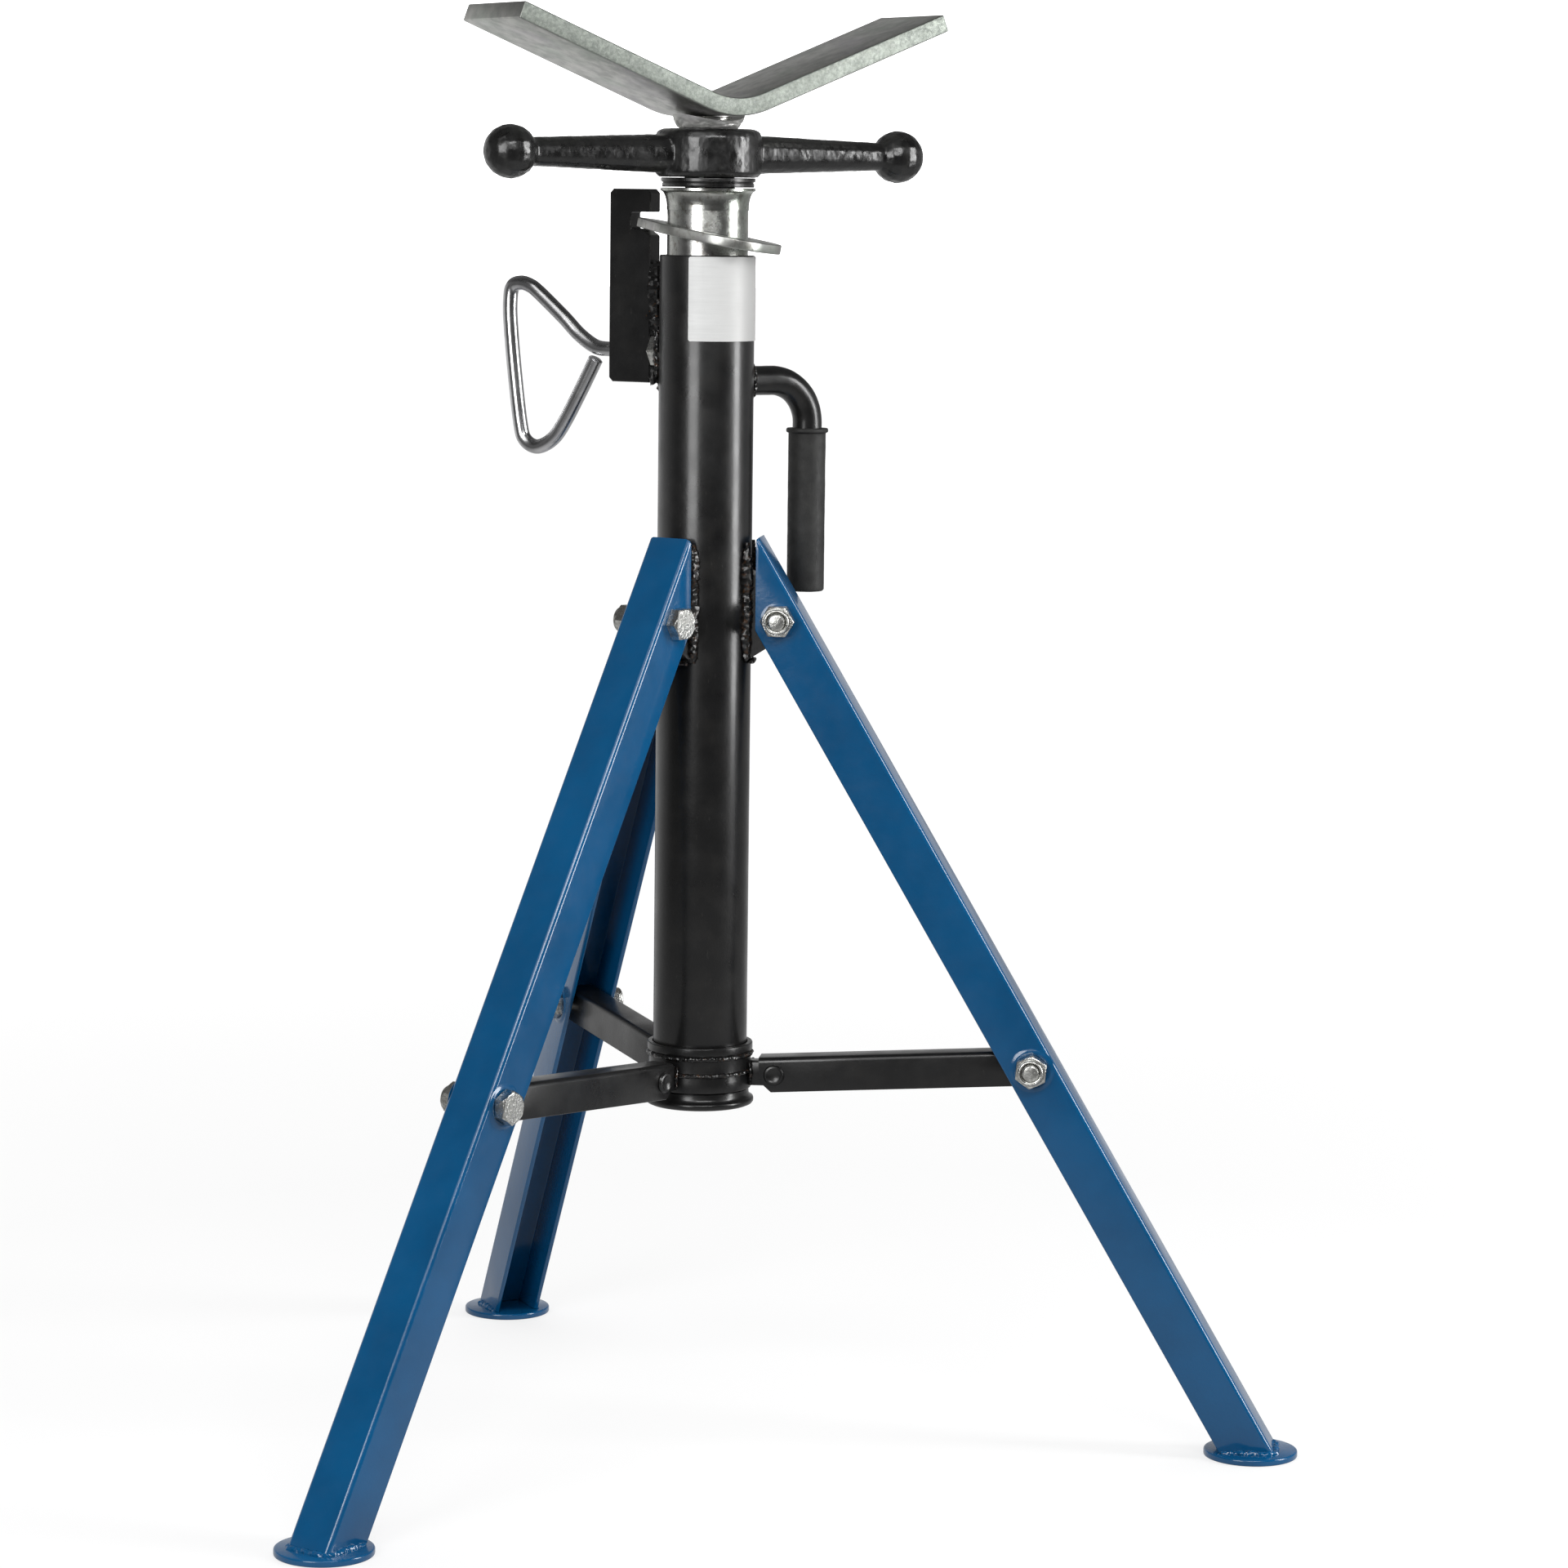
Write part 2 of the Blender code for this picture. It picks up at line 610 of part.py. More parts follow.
def build_latch():
    notch_end = LATCH_INNER + NOTCH_DEPTH
    tail_foot = RING_TAIL_HEIGHT - RING_THICKNESS / 2 * math.cos(RING_TILT)
    # The plate leans sideways too, so its lower side dips below the tail's middle
    notch_floor = tail_foot - LATCH_THICKNESS / 2 * math.sin(RING_ROLL) - TOUCH_GAP
    corners = (
        (LATCH_INNER, LATCH_BOTTOM),
        (LATCH_OUTER - LATCH_CHAMFER, LATCH_BOTTOM),
        (LATCH_OUTER, LATCH_BOTTOM + LATCH_CHAMFER),
        (LATCH_OUTER, LATCH_TOP - LATCH_CHAMFER),
        (LATCH_OUTER - LATCH_CHAMFER, LATCH_TOP),
        (LATCH_INNER + LATCH_CHAMFER, LATCH_TOP),
        (LATCH_INNER, LATCH_TOP - LATCH_CHAMFER),
        (LATCH_INNER, NOTCH_TOP),
        (notch_end, NOTCH_TOP),
        (notch_end, notch_floor),
        (RING_TAIL, notch_floor),
        (LATCH_INNER, notch_floor - NOTCH_MOUTH_FALL),
    )
    bar = break_edges(slab(corners, LATCH_THICKNESS))
    # The bar stands off the tube by the guide nut, and a weld fills the space above and below it
    half = GUIDE_ACROSS / 2 + TOUCH_GAP
    root = TUBE_RADIUS - TUBE_WALL / 2
    weld_low = LATCH_BOTTOM + WELD_INSET
    weld_high = TUBE_TOP - WELD_DROP
    for low, high in ((weld_low, PIN_HEIGHT - half), (PIN_HEIGHT + half, weld_high)):
        join(bar, block(root, LATCH_INNER + EDGE_BREAK * 2, low, high, WELD_WIDTH))
    clearance = TUBE_RADIUS + TOUCH_GAP
    cut(bar, rod(clearance, LATCH_BOTTOM - CUT_OVERRUN, LATCH_TOP + CUT_OVERRUN, ROUND_STEPS))
    cut(bar, outward(rod(PIN_BORE, 0.0, LATCH_OUTER + CUT_OVERRUN), PIN_HEIGHT))
    finish_piece(bar, "latch_bar", BLACK_PAINT, LATCH_AZIMUTH)
    # Two of the nut's flats lie level
    nut = hex_body(GUIDE_ACROSS, root, LATCH_INNER - TOUCH_GAP, PIN_BORE)
    settle(nut, Matrix.Rotation(math.pi / HEX_SIDES, 4, 'Z'))
    outward(nut, PIN_HEIGHT)
    cut(nut, rod(clearance, LATCH_BOTTOM, LATCH_TOP, ROUND_STEPS))
    finish_piece(nut, "pin_guide_nut", PLATED_BOLT, LATCH_AZIMUTH)


def build_lock_ring():
    # Drawn flat round the hinge at the tail's tip, then tilted down towards the nose and rolled
    # about its length, as it lies when it grips the tube
    tail_to_axis = RING_TAIL / math.cos(RING_TILT)
    nose_to_axis = RING_NOSE / math.cos(RING_TILT)
    half = RING_WIDTH / 2
    tail_half = RING_TAIL_WIDTH / 2
    corners = (
        (-nose_to_axis, -half),
        (RING_NECK, -half),
        (tail_to_axis, -tail_half),
        (tail_to_axis, tail_half),
        (RING_NECK, half),
        (-nose_to_axis, half),
    )
    radii = (
        RING_NOSE_ROUND,
        RING_SIDE_ROUND,
        RING_TAIL_ROUND,
        RING_TAIL_ROUND,
        RING_SIDE_ROUND,
        RING_NOSE_ROUND,
    )
    plate = slab(rounded(corners, radii), RING_THICKNESS)
    settle(plate, Matrix.Rotation(math.pi / 2, 4, 'X'))
    lean = RING_THICKNESS / 2 * math.sin(RING_LEAN)
    half_hole = (INNER_RADIUS + HOLE_GAP + lean) / math.cos(RING_LEAN)
    cut(plate, rod(half_hole, -RING_THICKNESS, RING_THICKNESS, ROUND_STEPS))
    break_edges(plate)
    tilt = Matrix.Rotation(-RING_TILT, 4, 'Y')
    roll = Matrix.Rotation(RING_ROLL, 4, 'X')
    shift = Matrix.Translation((-tail_to_axis, 0.0, 0.0))
    hinge = Matrix.Translation((RING_TAIL, 0.0, RING_TAIL_HEIGHT))
    settle(plate, hinge @ tilt @ roll @ shift)
    finish_piece(plate, "lock_ring", ZINC, LATCH_AZIMUTH, (RING_TAIL, 0.0, RING_TAIL_HEIGHT))


def build_lock_pin():
    points = [Vector((PIN_TIP, 0.0, PIN_HEIGHT)), Vector((LATCH_INNER, 0.0, PIN_HEIGHT))]
    for out_share, up_share in LOOP_SHARES:
        reach = LATCH_OUTER + out_share * LOOP_REACH
        points.append(Vector((reach, 0.0, PIN_HEIGHT + up_share * LOOP_DROP)))
    straight = points[:2]
    bent = smooth_path(points[2:], PIN_STEPS_PER_SPAN)
    wire = tube_along(straight + bent, PIN_RADIUS, 2)
    finish_piece(wire, "lock_pin", BRIGHT_STEEL, LATCH_AZIMUTH, (PIN_TIP, 0.0, PIN_HEIGHT))


def build_carry_handle():
    bar_end = GRIP_TOP - GRIP_LENGTH + GRIP_END + TOUCH_GAP
    bend_x = HANDLE_REACH - HANDLE_BEND
    bend_z = HANDLE_HEIGHT - HANDLE_BEND
    path = [Vector((TUBE_RADIUS - TUBE_WALL / 2, 0.0, HANDLE_HEIGHT))]
    for step in range(BALL_STEPS + 1):
        turn = math.pi / 2 * (1 - step / BALL_STEPS)
        across = bend_x + HANDLE_BEND * math.cos(turn)
        path.append(Vector((across, 0.0, bend_z + HANDLE_BEND * math.sin(turn))))
    path.append(Vector((HANDLE_REACH, 0.0, bar_end)))
    bar = tube_along(path, HANDLE_RADIUS, 3)
    cut(bar, rod(TUBE_RADIUS + TOUCH_GAP, TUBE_BOTTOM, TUBE_TOP, ROUND_STEPS))
    finish_piece(bar, "carry_handle", BLACK_PAINT, HANDLE_AZIMUTH)
    low = GRIP_TOP - GRIP_LENGTH
    bore = HANDLE_RADIUS + TOUCH_GAP
    shoulder = GRIP_TOP - GRIP_FLANGE_HEIGHT
    grip = turned((
        (0, low),
        (GRIP_RADIUS - GRIP_END, low),
        (GRIP_RADIUS, low + GRIP_END),
        (GRIP_RADIUS, shoulder),
        (GRIP_FLANGE_RADIUS, shoulder),
        (GRIP_FLANGE_RADIUS, GRIP_TOP),
        (bore, GRIP_TOP),
        (bore, low + GRIP_END),
        (0, low + GRIP_END),
    ), ROUND_STEPS // 2)
    settle(grip, Matrix.Translation((HANDLE_REACH, 0.0, 0.0)))
    finish_piece(grip, "handle_grip", BLACK_RUBBER, HANDLE_AZIMUTH)


def build_lug(side, azimuth):
    root = TUBE_RADIUS - TUBE_WALL / 2
    nose = [(root, LUG_BOTTOM)]
    # The straight edges run from the tube to where they touch the round nose
    drop = PIVOT_HEIGHT - LUG_BOTTOM
    rise = LUG_TOP - PIVOT_HEIGHT
    reach = PIVOT_REACH - root
    low_turn = -math.atan2(drop, -reach) + math.acos(LUG_NOSE / math.hypot(reach, drop))
    high_turn = math.atan2(rise, -reach) - math.acos(LUG_NOSE / math.hypot(reach, rise))
    steps = 2 * ARC_STEPS
    for step in range(steps + 1):
        turn = low_turn + (high_turn - low_turn) * step / steps
        reach = PIVOT_REACH + LUG_NOSE * math.cos(turn)
        nose.append((reach, PIVOT_HEIGHT + LUG_NOSE * math.sin(turn)))
    nose.append((root, LUG_TOP))
    lug = slab(nose, LUG_WIDTH)
    clearance = TUBE_RADIUS + TOUCH_GAP
    cut(lug, rod(clearance, LUG_BOTTOM - CUT_OVERRUN, LUG_TOP + CUT_OVERRUN, ROUND_STEPS))
    bore = rod(BOLT_RADIUS + HOLE_GAP, -LUG_WIDTH, LUG_WIDTH, BORE_STEPS)
    cut(lug, sideways(bore, PIVOT_REACH, PIVOT_HEIGHT))
    finish_piece(lug, "leg_lug_" + side, BLACK_PAINT, azimuth)


def build_leg(side, azimuth, pivot):
    half = LEG_WIDTH / 2
    inner_half = LEG_INNER_HALF
    section = rounded((
        (LEG_DEPTH, -half),
        (0.0, -half),
        (0.0, half),
        (LEG_DEPTH, half),
        (LEG_DEPTH, inner_half),
        (LEG_WALL, inner_half),
        (LEG_WALL, -inner_half),
        (LEG_DEPTH, -inner_half),
    ), (0, LEG_CORNER, LEG_CORNER, 0, 0, LEG_CORNER - LEG_WALL, LEG_CORNER - LEG_WALL, 0))
    length = 2 * PIVOT_HEIGHT / math.cos(LEG_LEAN)
    leg = slab(section, 2 * length)
    inward = Vector((-math.cos(LEG_LEAN), 0.0, -math.sin(LEG_LEAN)))
    along = Vector((-math.sin(LEG_LEAN), 0.0, math.cos(LEG_LEAN)))
    frame = Matrix.Identity(4)
    frame.col[0][:3] = inward
    frame.col[1][:3] = along
    frame.col[2][:3] = (0.0, 1.0, 0.0)
    frame.col[3][:3] = (LEG_GROUND_REACH, 0.0, 0.0)
    settle(leg, frame)
    floor = FOOT_THICKNESS + TOUCH_GAP
    far = LEG_GROUND_REACH + length
    cut(leg, block(-far, far, floor - 2 * length, floor, 2 * LEG_WIDTH))
    cut(leg, block(-far, LEG_TRIM, floor - length, 2 * length, 2 * LEG_WIDTH))
    bore = BOLT_RADIUS + HOLE_GAP
    for reach, height in ((PIVOT_REACH, PIVOT_HEIGHT), (BRACE_BOLT_REACH, BRACE_BOLT_HEIGHT)):
        cut(leg, sideways(rod(bore, -LEG_WIDTH, LEG_WIDTH), reach, height))
    finish_piece(leg, "leg_" + side, BLUE_PAINT, azimuth, pivot)
    foot = rod(FOOT_RADIUS, 0.0, FOOT_THICKNESS, ROUND_STEPS)
    settle(foot, Matrix.Translation((FOOT_REACH, 0.0, 0.0)))
    finish_piece(foot, "foot_" + side, BLUE_PAINT, azimuth, pivot)


def bolt_end():
    # Where the threaded end stands, on the station's -Y side
    return LEG_WIDTH / 2 + TOUCH_GAP + NUT_HEX_HEIGHT + NUT_COLLAR_HEIGHT + BOLT_STUB


def bolt_head(shank_end):
    # A hex head on the station's +Y side with its shank, drawn upright
    seat = LEG_WIDTH / 2 + TOUCH_GAP
    head = hex_body(BOLT_ACROSS, seat, seat + BOLT_HEAD)
    return join(head, rod(BOLT_RADIUS, shank_end, seat + BOLT_HEAD / 2))


def build_nut(name, azimuth, reach, height, pivot):
    seat = LEG_WIDTH / 2 + TOUCH_GAP
    shoulder = seat + NUT_HEX_HEIGHT
    nut = hex_body(BOLT_ACROSS, -shoulder, -seat)
    join(nut, rod(NUT_COLLAR_RADIUS, -shoulder - NUT_COLLAR_HEIGHT, -seat - NUT_HEX_HEIGHT / 2))
    cut(nut, rod(BOLT_RADIUS + HOLE_GAP, -LEG_WIDTH, 0.0))
    finish_piece(sideways(nut, reach, height), name, PLATED_BOLT, azimuth, pivot)


def build_pivot_bolt(side, azimuth, pivot):
    # In three lengths: the head's and the nut's turn with the leg, the middle stays in the lug
    place = (PIVOT_REACH, PIVOT_HEIGHT)
    head = sideways(bolt_head(LEG_INNER_HALF), *place)
    finish_piece(head, "pivot_bolt_" + side, PLATED_BOLT, azimuth, pivot)
    middle = sideways(rod(BOLT_RADIUS, -LUG_WIDTH / 2, LUG_WIDTH / 2), *place)
    finish_piece(middle, "pivot_shank_" + side, PLATED_BOLT, azimuth, (PIVOT_REACH, 0.0, PIVOT_HEIGHT))
    thread = sideways(rod(BOLT_RADIUS, -bolt_end(), -LEG_INNER_HALF), *place)
    finish_piece(thread, "pivot_thread_" + side, PLATED_BOLT, azimuth, pivot)
    build_nut("pivot_nut_" + side, azimuth, *place, pivot)


def build_brace_bolt(side, azimuth, pivot):
    place = (BRACE_BOLT_REACH, BRACE_BOLT_HEIGHT)
    bolt = sideways(bolt_head(-bolt_end()), *place)
    finish_piece(bolt, "brace_bolt_" + side, PLATED_BOLT, azimuth, pivot)
    build_nut("brace_nut_" + side, azimuth, *place, pivot)


def build_collar():
    top = COLLAR_BOTTOM + COLLAR_HEIGHT
    bore = TUBE_RADIUS + COLLAR_GAP
    collar = hollow(COLLAR_RADIUS, bore, COLLAR_BOTTOM, top)
    root = (COLLAR_RADIUS + bore) / 2
    for azimuth in LEG_AZIMUTHS.values():
        corners = (
            (root, EAR_HEIGHT - EAR_NOSE),
            (EAR_REACH + EAR_NOSE, EAR_HEIGHT - EAR_NOSE),
            (EAR_REACH + EAR_NOSE, EAR_HEIGHT + EAR_NOSE),
            (root, EAR_HEIGHT + EAR_NOSE),
        )
        ear = slab(rounded(corners, (0, EAR_ROUND, EAR_ROUND, 0)), EAR_THICKNESS)
        bore_tool = rod(RIVET_RADIUS + HOLE_GAP, -EAR_THICKNESS, EAR_THICKNESS)
        cut(ear, sideways(bore_tool, EAR_REACH, EAR_HEIGHT))
        join(collar, settle(ear, Matrix.Rotation(azimuth, 4, 'Z')))
    finish_piece(collar, "sliding_collar", BLACK_PAINT)


def build_brace(side, azimuth):
    # Drawn flat with the ear's rivet at the origin, then raised to the slope between its two pins
    half = BRACE_HEIGHT / 2
    corners = (
        (BRACE_CHAMFER - BRACE_OVERHANG, -half),
        (BRACE_SPAN + half, -half),
        (BRACE_SPAN + half, half),
        (-BRACE_OVERHANG, half),
        (-BRACE_OVERHANG, BRACE_CHAMFER - half),
    )
    brace = slab(rounded(corners, (0, BRACE_END_ROUND, BRACE_END_ROUND, 0, 0)), BRACE_WIDTH)
    far = BRACE_SPAN + BRACE_HEIGHT
    cut(brace, block(-far, far, -BRACE_HEIGHT, half - BRACE_WALL, BRACE_WIDTH - 2 * BRACE_WALL))
    cut(brace, sideways(rod(RIVET_RADIUS + HOLE_GAP, -BRACE_WIDTH, BRACE_WIDTH)))
    cut(brace, sideways(rod(BOLT_RADIUS + HOLE_GAP, -BRACE_WIDTH, BRACE_WIDTH), BRACE_SPAN))
    slope = Matrix.Rotation(-BRACE_RISE, 4, 'Y')
    settle(brace, Matrix.Translation((EAR_REACH, 0.0, EAR_HEIGHT)) @ slope)
    pivot = (EAR_REACH, 0.0, EAR_HEIGHT)
    finish_piece(brace, "brace_" + side, BLACK_PAINT, azimuth, pivot)
    face = BRACE_WIDTH / 2 + TOUCH_GAP
    end = face + RIVET_HEAD_HEIGHT
    rivet = turned((
        (0, -end),
        (RIVET_RADIUS, -end),
        (RIVET_HEAD_RADIUS, -face - RIVET_HEAD_HEIGHT / 2),
        (RIVET_HEAD_RADIUS, -face),
        (RIVET_RADIUS, -face),
        (RIVET_RADIUS, face),
        (RIVET_HEAD_RADIUS, face),
        (RIVET_HEAD_RADIUS, face + RIVET_HEAD_HEIGHT / 2),
        (RIVET_RADIUS, end),
        (0, end),
    ), BORE_STEPS)
    finish_piece(sideways(rivet, EAR_REACH, EAR_HEIGHT), "brace_rivet_" + side, BLACK_PAINT, azimuth, pivot)


def centre_stand():
    bpy.context.view_layer.update()
    pieces = list(bpy.context.scene.objects)
    places = [piece.matrix_world @ vertex.co for piece in pieces for vertex in piece.data.vertices]
    across = [place.x for place in places]
    deep = [place.y for place in places]
    middle = Vector(((min(across) + max(across)) / 2, (min(deep) + max(deep)) / 2, 0.0))
    for piece in pieces:
        piece.location -= middle


def build_stand():
    clear_scene()
    build_outer_tube()
    build_label()
    build_inner_tube()
    build_handle_nut()
    build_screw()
    build_v_head()
    build_latch()
    build_lock_ring()
    build_lock_pin()
    build_carry_handle()
    build_collar()
    for side, azimuth in LEG_AZIMUTHS.items():
        # A leg and all that is bolted to it turn about the brace bolt
        pivot = (BRACE_BOLT_REACH, 0.0, BRACE_BOLT_HEIGHT)
        build_lug(side, azimuth)
        build_leg(side, azimuth, pivot)
        build_pivot_bolt(side, azimuth, pivot)
        build_brace_bolt(side, azimuth, pivot)
        build_brace(side, azimuth)
    centre_stand()


build_stand()
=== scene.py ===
import math

import bmesh
import bpy
from mathutils import Matrix, Vector, noise


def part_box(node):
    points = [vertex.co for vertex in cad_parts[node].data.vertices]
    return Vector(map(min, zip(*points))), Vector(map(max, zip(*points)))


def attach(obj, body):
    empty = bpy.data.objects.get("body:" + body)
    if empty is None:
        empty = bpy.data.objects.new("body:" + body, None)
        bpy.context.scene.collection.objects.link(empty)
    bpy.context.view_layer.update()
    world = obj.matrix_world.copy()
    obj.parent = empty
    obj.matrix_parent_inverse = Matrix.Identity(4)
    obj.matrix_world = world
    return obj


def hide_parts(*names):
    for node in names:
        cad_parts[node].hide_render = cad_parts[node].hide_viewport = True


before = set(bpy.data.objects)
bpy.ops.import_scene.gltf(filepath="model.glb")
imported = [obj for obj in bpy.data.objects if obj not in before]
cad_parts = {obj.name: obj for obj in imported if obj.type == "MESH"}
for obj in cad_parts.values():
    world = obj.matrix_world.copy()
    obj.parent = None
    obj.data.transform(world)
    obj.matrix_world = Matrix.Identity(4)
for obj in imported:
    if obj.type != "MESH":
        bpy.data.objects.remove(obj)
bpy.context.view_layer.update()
tubeLow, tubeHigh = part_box("outer_tube")
columnPlace = Vector(((tubeLow[0] + tubeHigh[0]) / 2, (tubeLow[1] + tubeHigh[1]) / 2, 0))
print("frame loaded:", len(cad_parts), "nodes")

# Metres throughout. Pieces round the column are drawn at a station: X points outward,
# Y sideways, Z up. The station is turned to its azimuth, in degrees from +X, and then
# moved to columnPlace, where the column stands in the shared frame.
legAzimuths = {"right": -7.6, "rear": 112.4, "left": 232.4}
latchAzimuth = 148
headAzimuth = 30
ways = {"Near": 1, "Far": -1}  # the two sides of a piece, along the station's Y


# Mesh helpers

mergeGap, planeGap = 0.000002, 0.000001
lumps = {"falloff": 0.7, "spread": 2.1, "octaves": 3, "seedShare": 0.7}


def tidied(mesh):  # closes seams and turns the faces outward
    work = bmesh.new()
    work.from_mesh(mesh)
    bmesh.ops.remove_doubles(work, verts=work.verts, dist=mergeGap)
    bmesh.ops.recalc_face_normals(work, faces=work.faces)
    work.to_mesh(mesh)
    work.free()
    return mesh


def meshFrom(points, faces):
    mesh = bpy.data.meshes.new("work")
    mesh.from_pydata([tuple(point) for point in points], [], faces)
    return tidied(mesh)


def placed(mesh, *matrices):  # the last matrix given works first
    whole = Matrix.Identity(4)
    for matrix in matrices:
        whole = whole @ matrix
    mesh.transform(whole)
    return tidied(mesh)


def moved(x=0.0, y=0.0, z=0.0):
    return Matrix.Translation((x, y, z))


def turnedBy(degrees, axis):
    return Matrix.Rotation(math.radians(degrees), 4, axis)


def axesTo(first, second, third, place=(0, 0, 0)):  # where the X, Y and Z axes and the origin go
    return Matrix.Translation(place) @ Matrix((first, second, third)).transposed().to_4x4()


def linked(name, data):
    thing = bpy.data.objects.new(name, data)
    bpy.context.scene.collection.objects.link(thing)
    return thing


def joined(*meshes):
    work = bmesh.new()
    for mesh in meshes:
        work.from_mesh(mesh)
    whole = bpy.data.meshes.new("work")
    work.to_mesh(whole)
    work.free()
    return whole


def modified(mesh, setUp):  # runs the modifiers that setUp adds and returns the result
    holder = linked("work", mesh)
    helpers = setUp(holder) or []
    graph = bpy.context.evaluated_depsgraph_get()
    result = bpy.data.meshes.new_from_object(holder.evaluated_get(graph))
    for item in [holder, *helpers]:
        bpy.data.objects.remove(item, do_unlink=True)
    return result


def cutBy(mesh, *tools):
    def setUp(holder):
        helpers = [linked("tool", tool) for tool in tools]
        for helper in helpers:
            modifier = holder.modifiers.new("cut", 'BOOLEAN')
            modifier.operation = 'DIFFERENCE'
            modifier.solver = 'EXACT'
            modifier.object = helper
        return helpers
    return modified(mesh, setUp)


def softened(mesh, width, segments=3, angle=40):
    def setUp(holder):
        modifier = holder.modifiers.new("edges", 'BEVEL')
        modifier.width = width
        modifier.segments = segments
        modifier.limit_method = 'ANGLE'
        modifier.angle_limit = math.radians(angle)
    return modified(mesh, setUp)


def roughened(mesh, height, scale, seed=0.0):  # moves the points along their normals
    shift = Vector((seed, seed * lumps["seedShare"], -seed))
    normals = [vertex.normal.copy() for vertex in mesh.vertices]
    places = []
    for vertex, normal in zip(mesh.vertices, normals):
        spot = vertex.co * scale + shift
        lift = noise.fractal(spot, lumps["falloff"], lumps["spread"], lumps["octaves"])
        places.extend(vertex.co + normal * (lift * height))
    mesh.vertices.foreach_set("co", places)
    mesh.update()
    return mesh


def turnsOf(steps):
    return [math.tau * step / steps for step in range(steps)]


def around(radius, turn, height=0.0):
    return Vector((radius * math.cos(turn), radius * math.sin(turn), height))


def bridged(rows, count, closed=False):  # the faces between rings of count points each
    faces = []
    for row in range(rows if closed else rows - 1):
        here, there = row * count, (row + 1) % rows * count
        for step in range(count):
            ahead = (step + 1) % count
            faces.append((here + step, here + ahead, there + ahead, there + step))
    return faces


def ringFace(row, count):
    return tuple(range(row * count, (row + 1) * count))


def revolved(profile, steps=96):  # (radius, height) points, closed or from axis to axis
    points, rings = [], []
    for radius, height in profile:
        count = steps if radius else 1
        rings.append(list(range(len(points), len(points) + count)))
        points += [around(radius, turn, height) for turn in turnsOf(count)]
    pairs = list(zip(rings, rings[1:]))
    if profile[0][0] != 0:
        pairs.append((rings[-1], rings[0]))
    faces = []
    for ring, following in pairs:
        for step in range(steps):
            ahead = (step + 1) % steps
            corners = [ring[step % len(ring)], following[step % len(following)],
                       following[ahead % len(following)], ring[ahead % len(ring)]]
            faces.append(tuple(dict.fromkeys(corners)))  # three corners where the axis is met
    return meshFrom(points, faces)


def rod(radius, low, high, steps=96):
    return revolved(((0, low), (radius, low), (radius, high), (0, high)), steps)


def roundedOutline(corners, radii, steps=6):  # each corner with a radius becomes an arc
    outline = []
    for index, radius in enumerate(radii):
        corner = Vector(corners[index])
        if radius == 0:
            outline.append(tuple(corner))
            continue
        back = (Vector(corners[index - 1]) - corner).normalized()
        ahead = (Vector(corners[(index + 1) % len(corners)]) - corner).normalized()
        half = back.angle(ahead) / 2
        centre = corner + (back + ahead).normalized() * (radius / math.sin(half))
        first = corner + back * (radius / math.tan(half)) - centre
        last = corner + ahead * (radius / math.tan(half)) - centre
        start = math.atan2(first.y, first.x)
        sweep = math.atan2(first.x * last.y - first.y * last.x, first.dot(last))
        for step in range(steps + 1):
            turn = start + sweep * step / steps
            outline.append((centre.x + radius * math.cos(turn), centre.y + radius * math.sin(turn)))
    return outline


def rounded(plan, corners):
    return roundedOutline(corners, plan["rounds"], plan["roundSteps"])


def extruded(outline, levels):  # an (X, Y) outline carried up through the levels
    count = len(outline)
    points = [(x, y, level) for level in levels for x, y in outline]
    ends = [ringFace(0, count), ringFace(len(levels) - 1, count)]
    return meshFrom(points, ends + bridged(len(levels), count))


def trimmed(mesh, place, outwardNormal):  # cuts off what lies beyond a plane and closes the cut
    work = bmesh.new()
    work.from_mesh(mesh)
    parts = work.verts[:] + work.edges[:] + work.faces[:]
    bmesh.ops.bisect_plane(work, geom=parts, dist=planeGap, plane_co=place,
                           plane_no=outwardNormal, clear_outer=True)
    openEdges = [edge for edge in work.edges if edge.is_boundary]
    bmesh.ops.holes_fill(work, edges=openEdges, sides=0)
    bmesh.ops.recalc_face_normals(work, faces=work.faces)
    work.to_mesh(mesh)
    work.free()
    return mesh


def sweptTube(path, radiusAt, sides=16, closed=False):  # radiusAt takes the share along the path
    last = len(path) - 1
    heading = (path[1] - path[0]).normalized()
    side = heading.orthogonal().normalized()
    points = []
    for index, place in enumerate(path):
        if closed:
            ahead = (path[(index + 1) % len(path)] - path[index - 1]).normalized()
        else:
            ahead = (path[min(index + 1, last)] - path[max(index - 1, 0)]).normalized()
        side = (heading.rotation_difference(ahead) @ side).normalized()
        heading = ahead
        other = heading.cross(side)
        radius = radiusAt(index / last)
        for turn in turnsOf(sides):
            points.append(place + (side * math.cos(turn) + other * math.sin(turn)) * radius)
    ends = [] if closed else [ringFace(0, sides), ringFace(last, sides)]
    return meshFrom(points, bridged(len(path), sides, closed) + ends)


def smoothPath(points, steps):  # a smooth curve through the points
    path = []
    last = len(points) - 1
    for index in range(last):
        before = points[max(index - 1, 0)]
        here = points[index]
        there = points[index + 1]
        after = points[min(index + 2, last)]
        for step in range(steps):
            share = step / steps
            pull = (there - before) * share
            swing = (2 * before - 5 * here + 4 * there - after) * share ** 2
            settleBack = (3 * here - before - 3 * there + after) * share ** 3
            path.append(here + (pull + swing + settleBack) / 2)
    path.append(points[last])
    return path


def spacedPath(points, spacing):
    path = []
    for here, there in zip(points, points[1:]):
        steps = max(1, round((there - here).length / spacing))
        path += [here.lerp(there, step / steps) for step in range(steps)]
    return path + [points[-1]]


def ringPath(radius, height, steps=72):
    return [around(radius, math.tau * step / steps, height) for step in range(steps + 1)]


def upright(reach, side, heights):
    return [Vector((reach, side, height)) for height in heights]


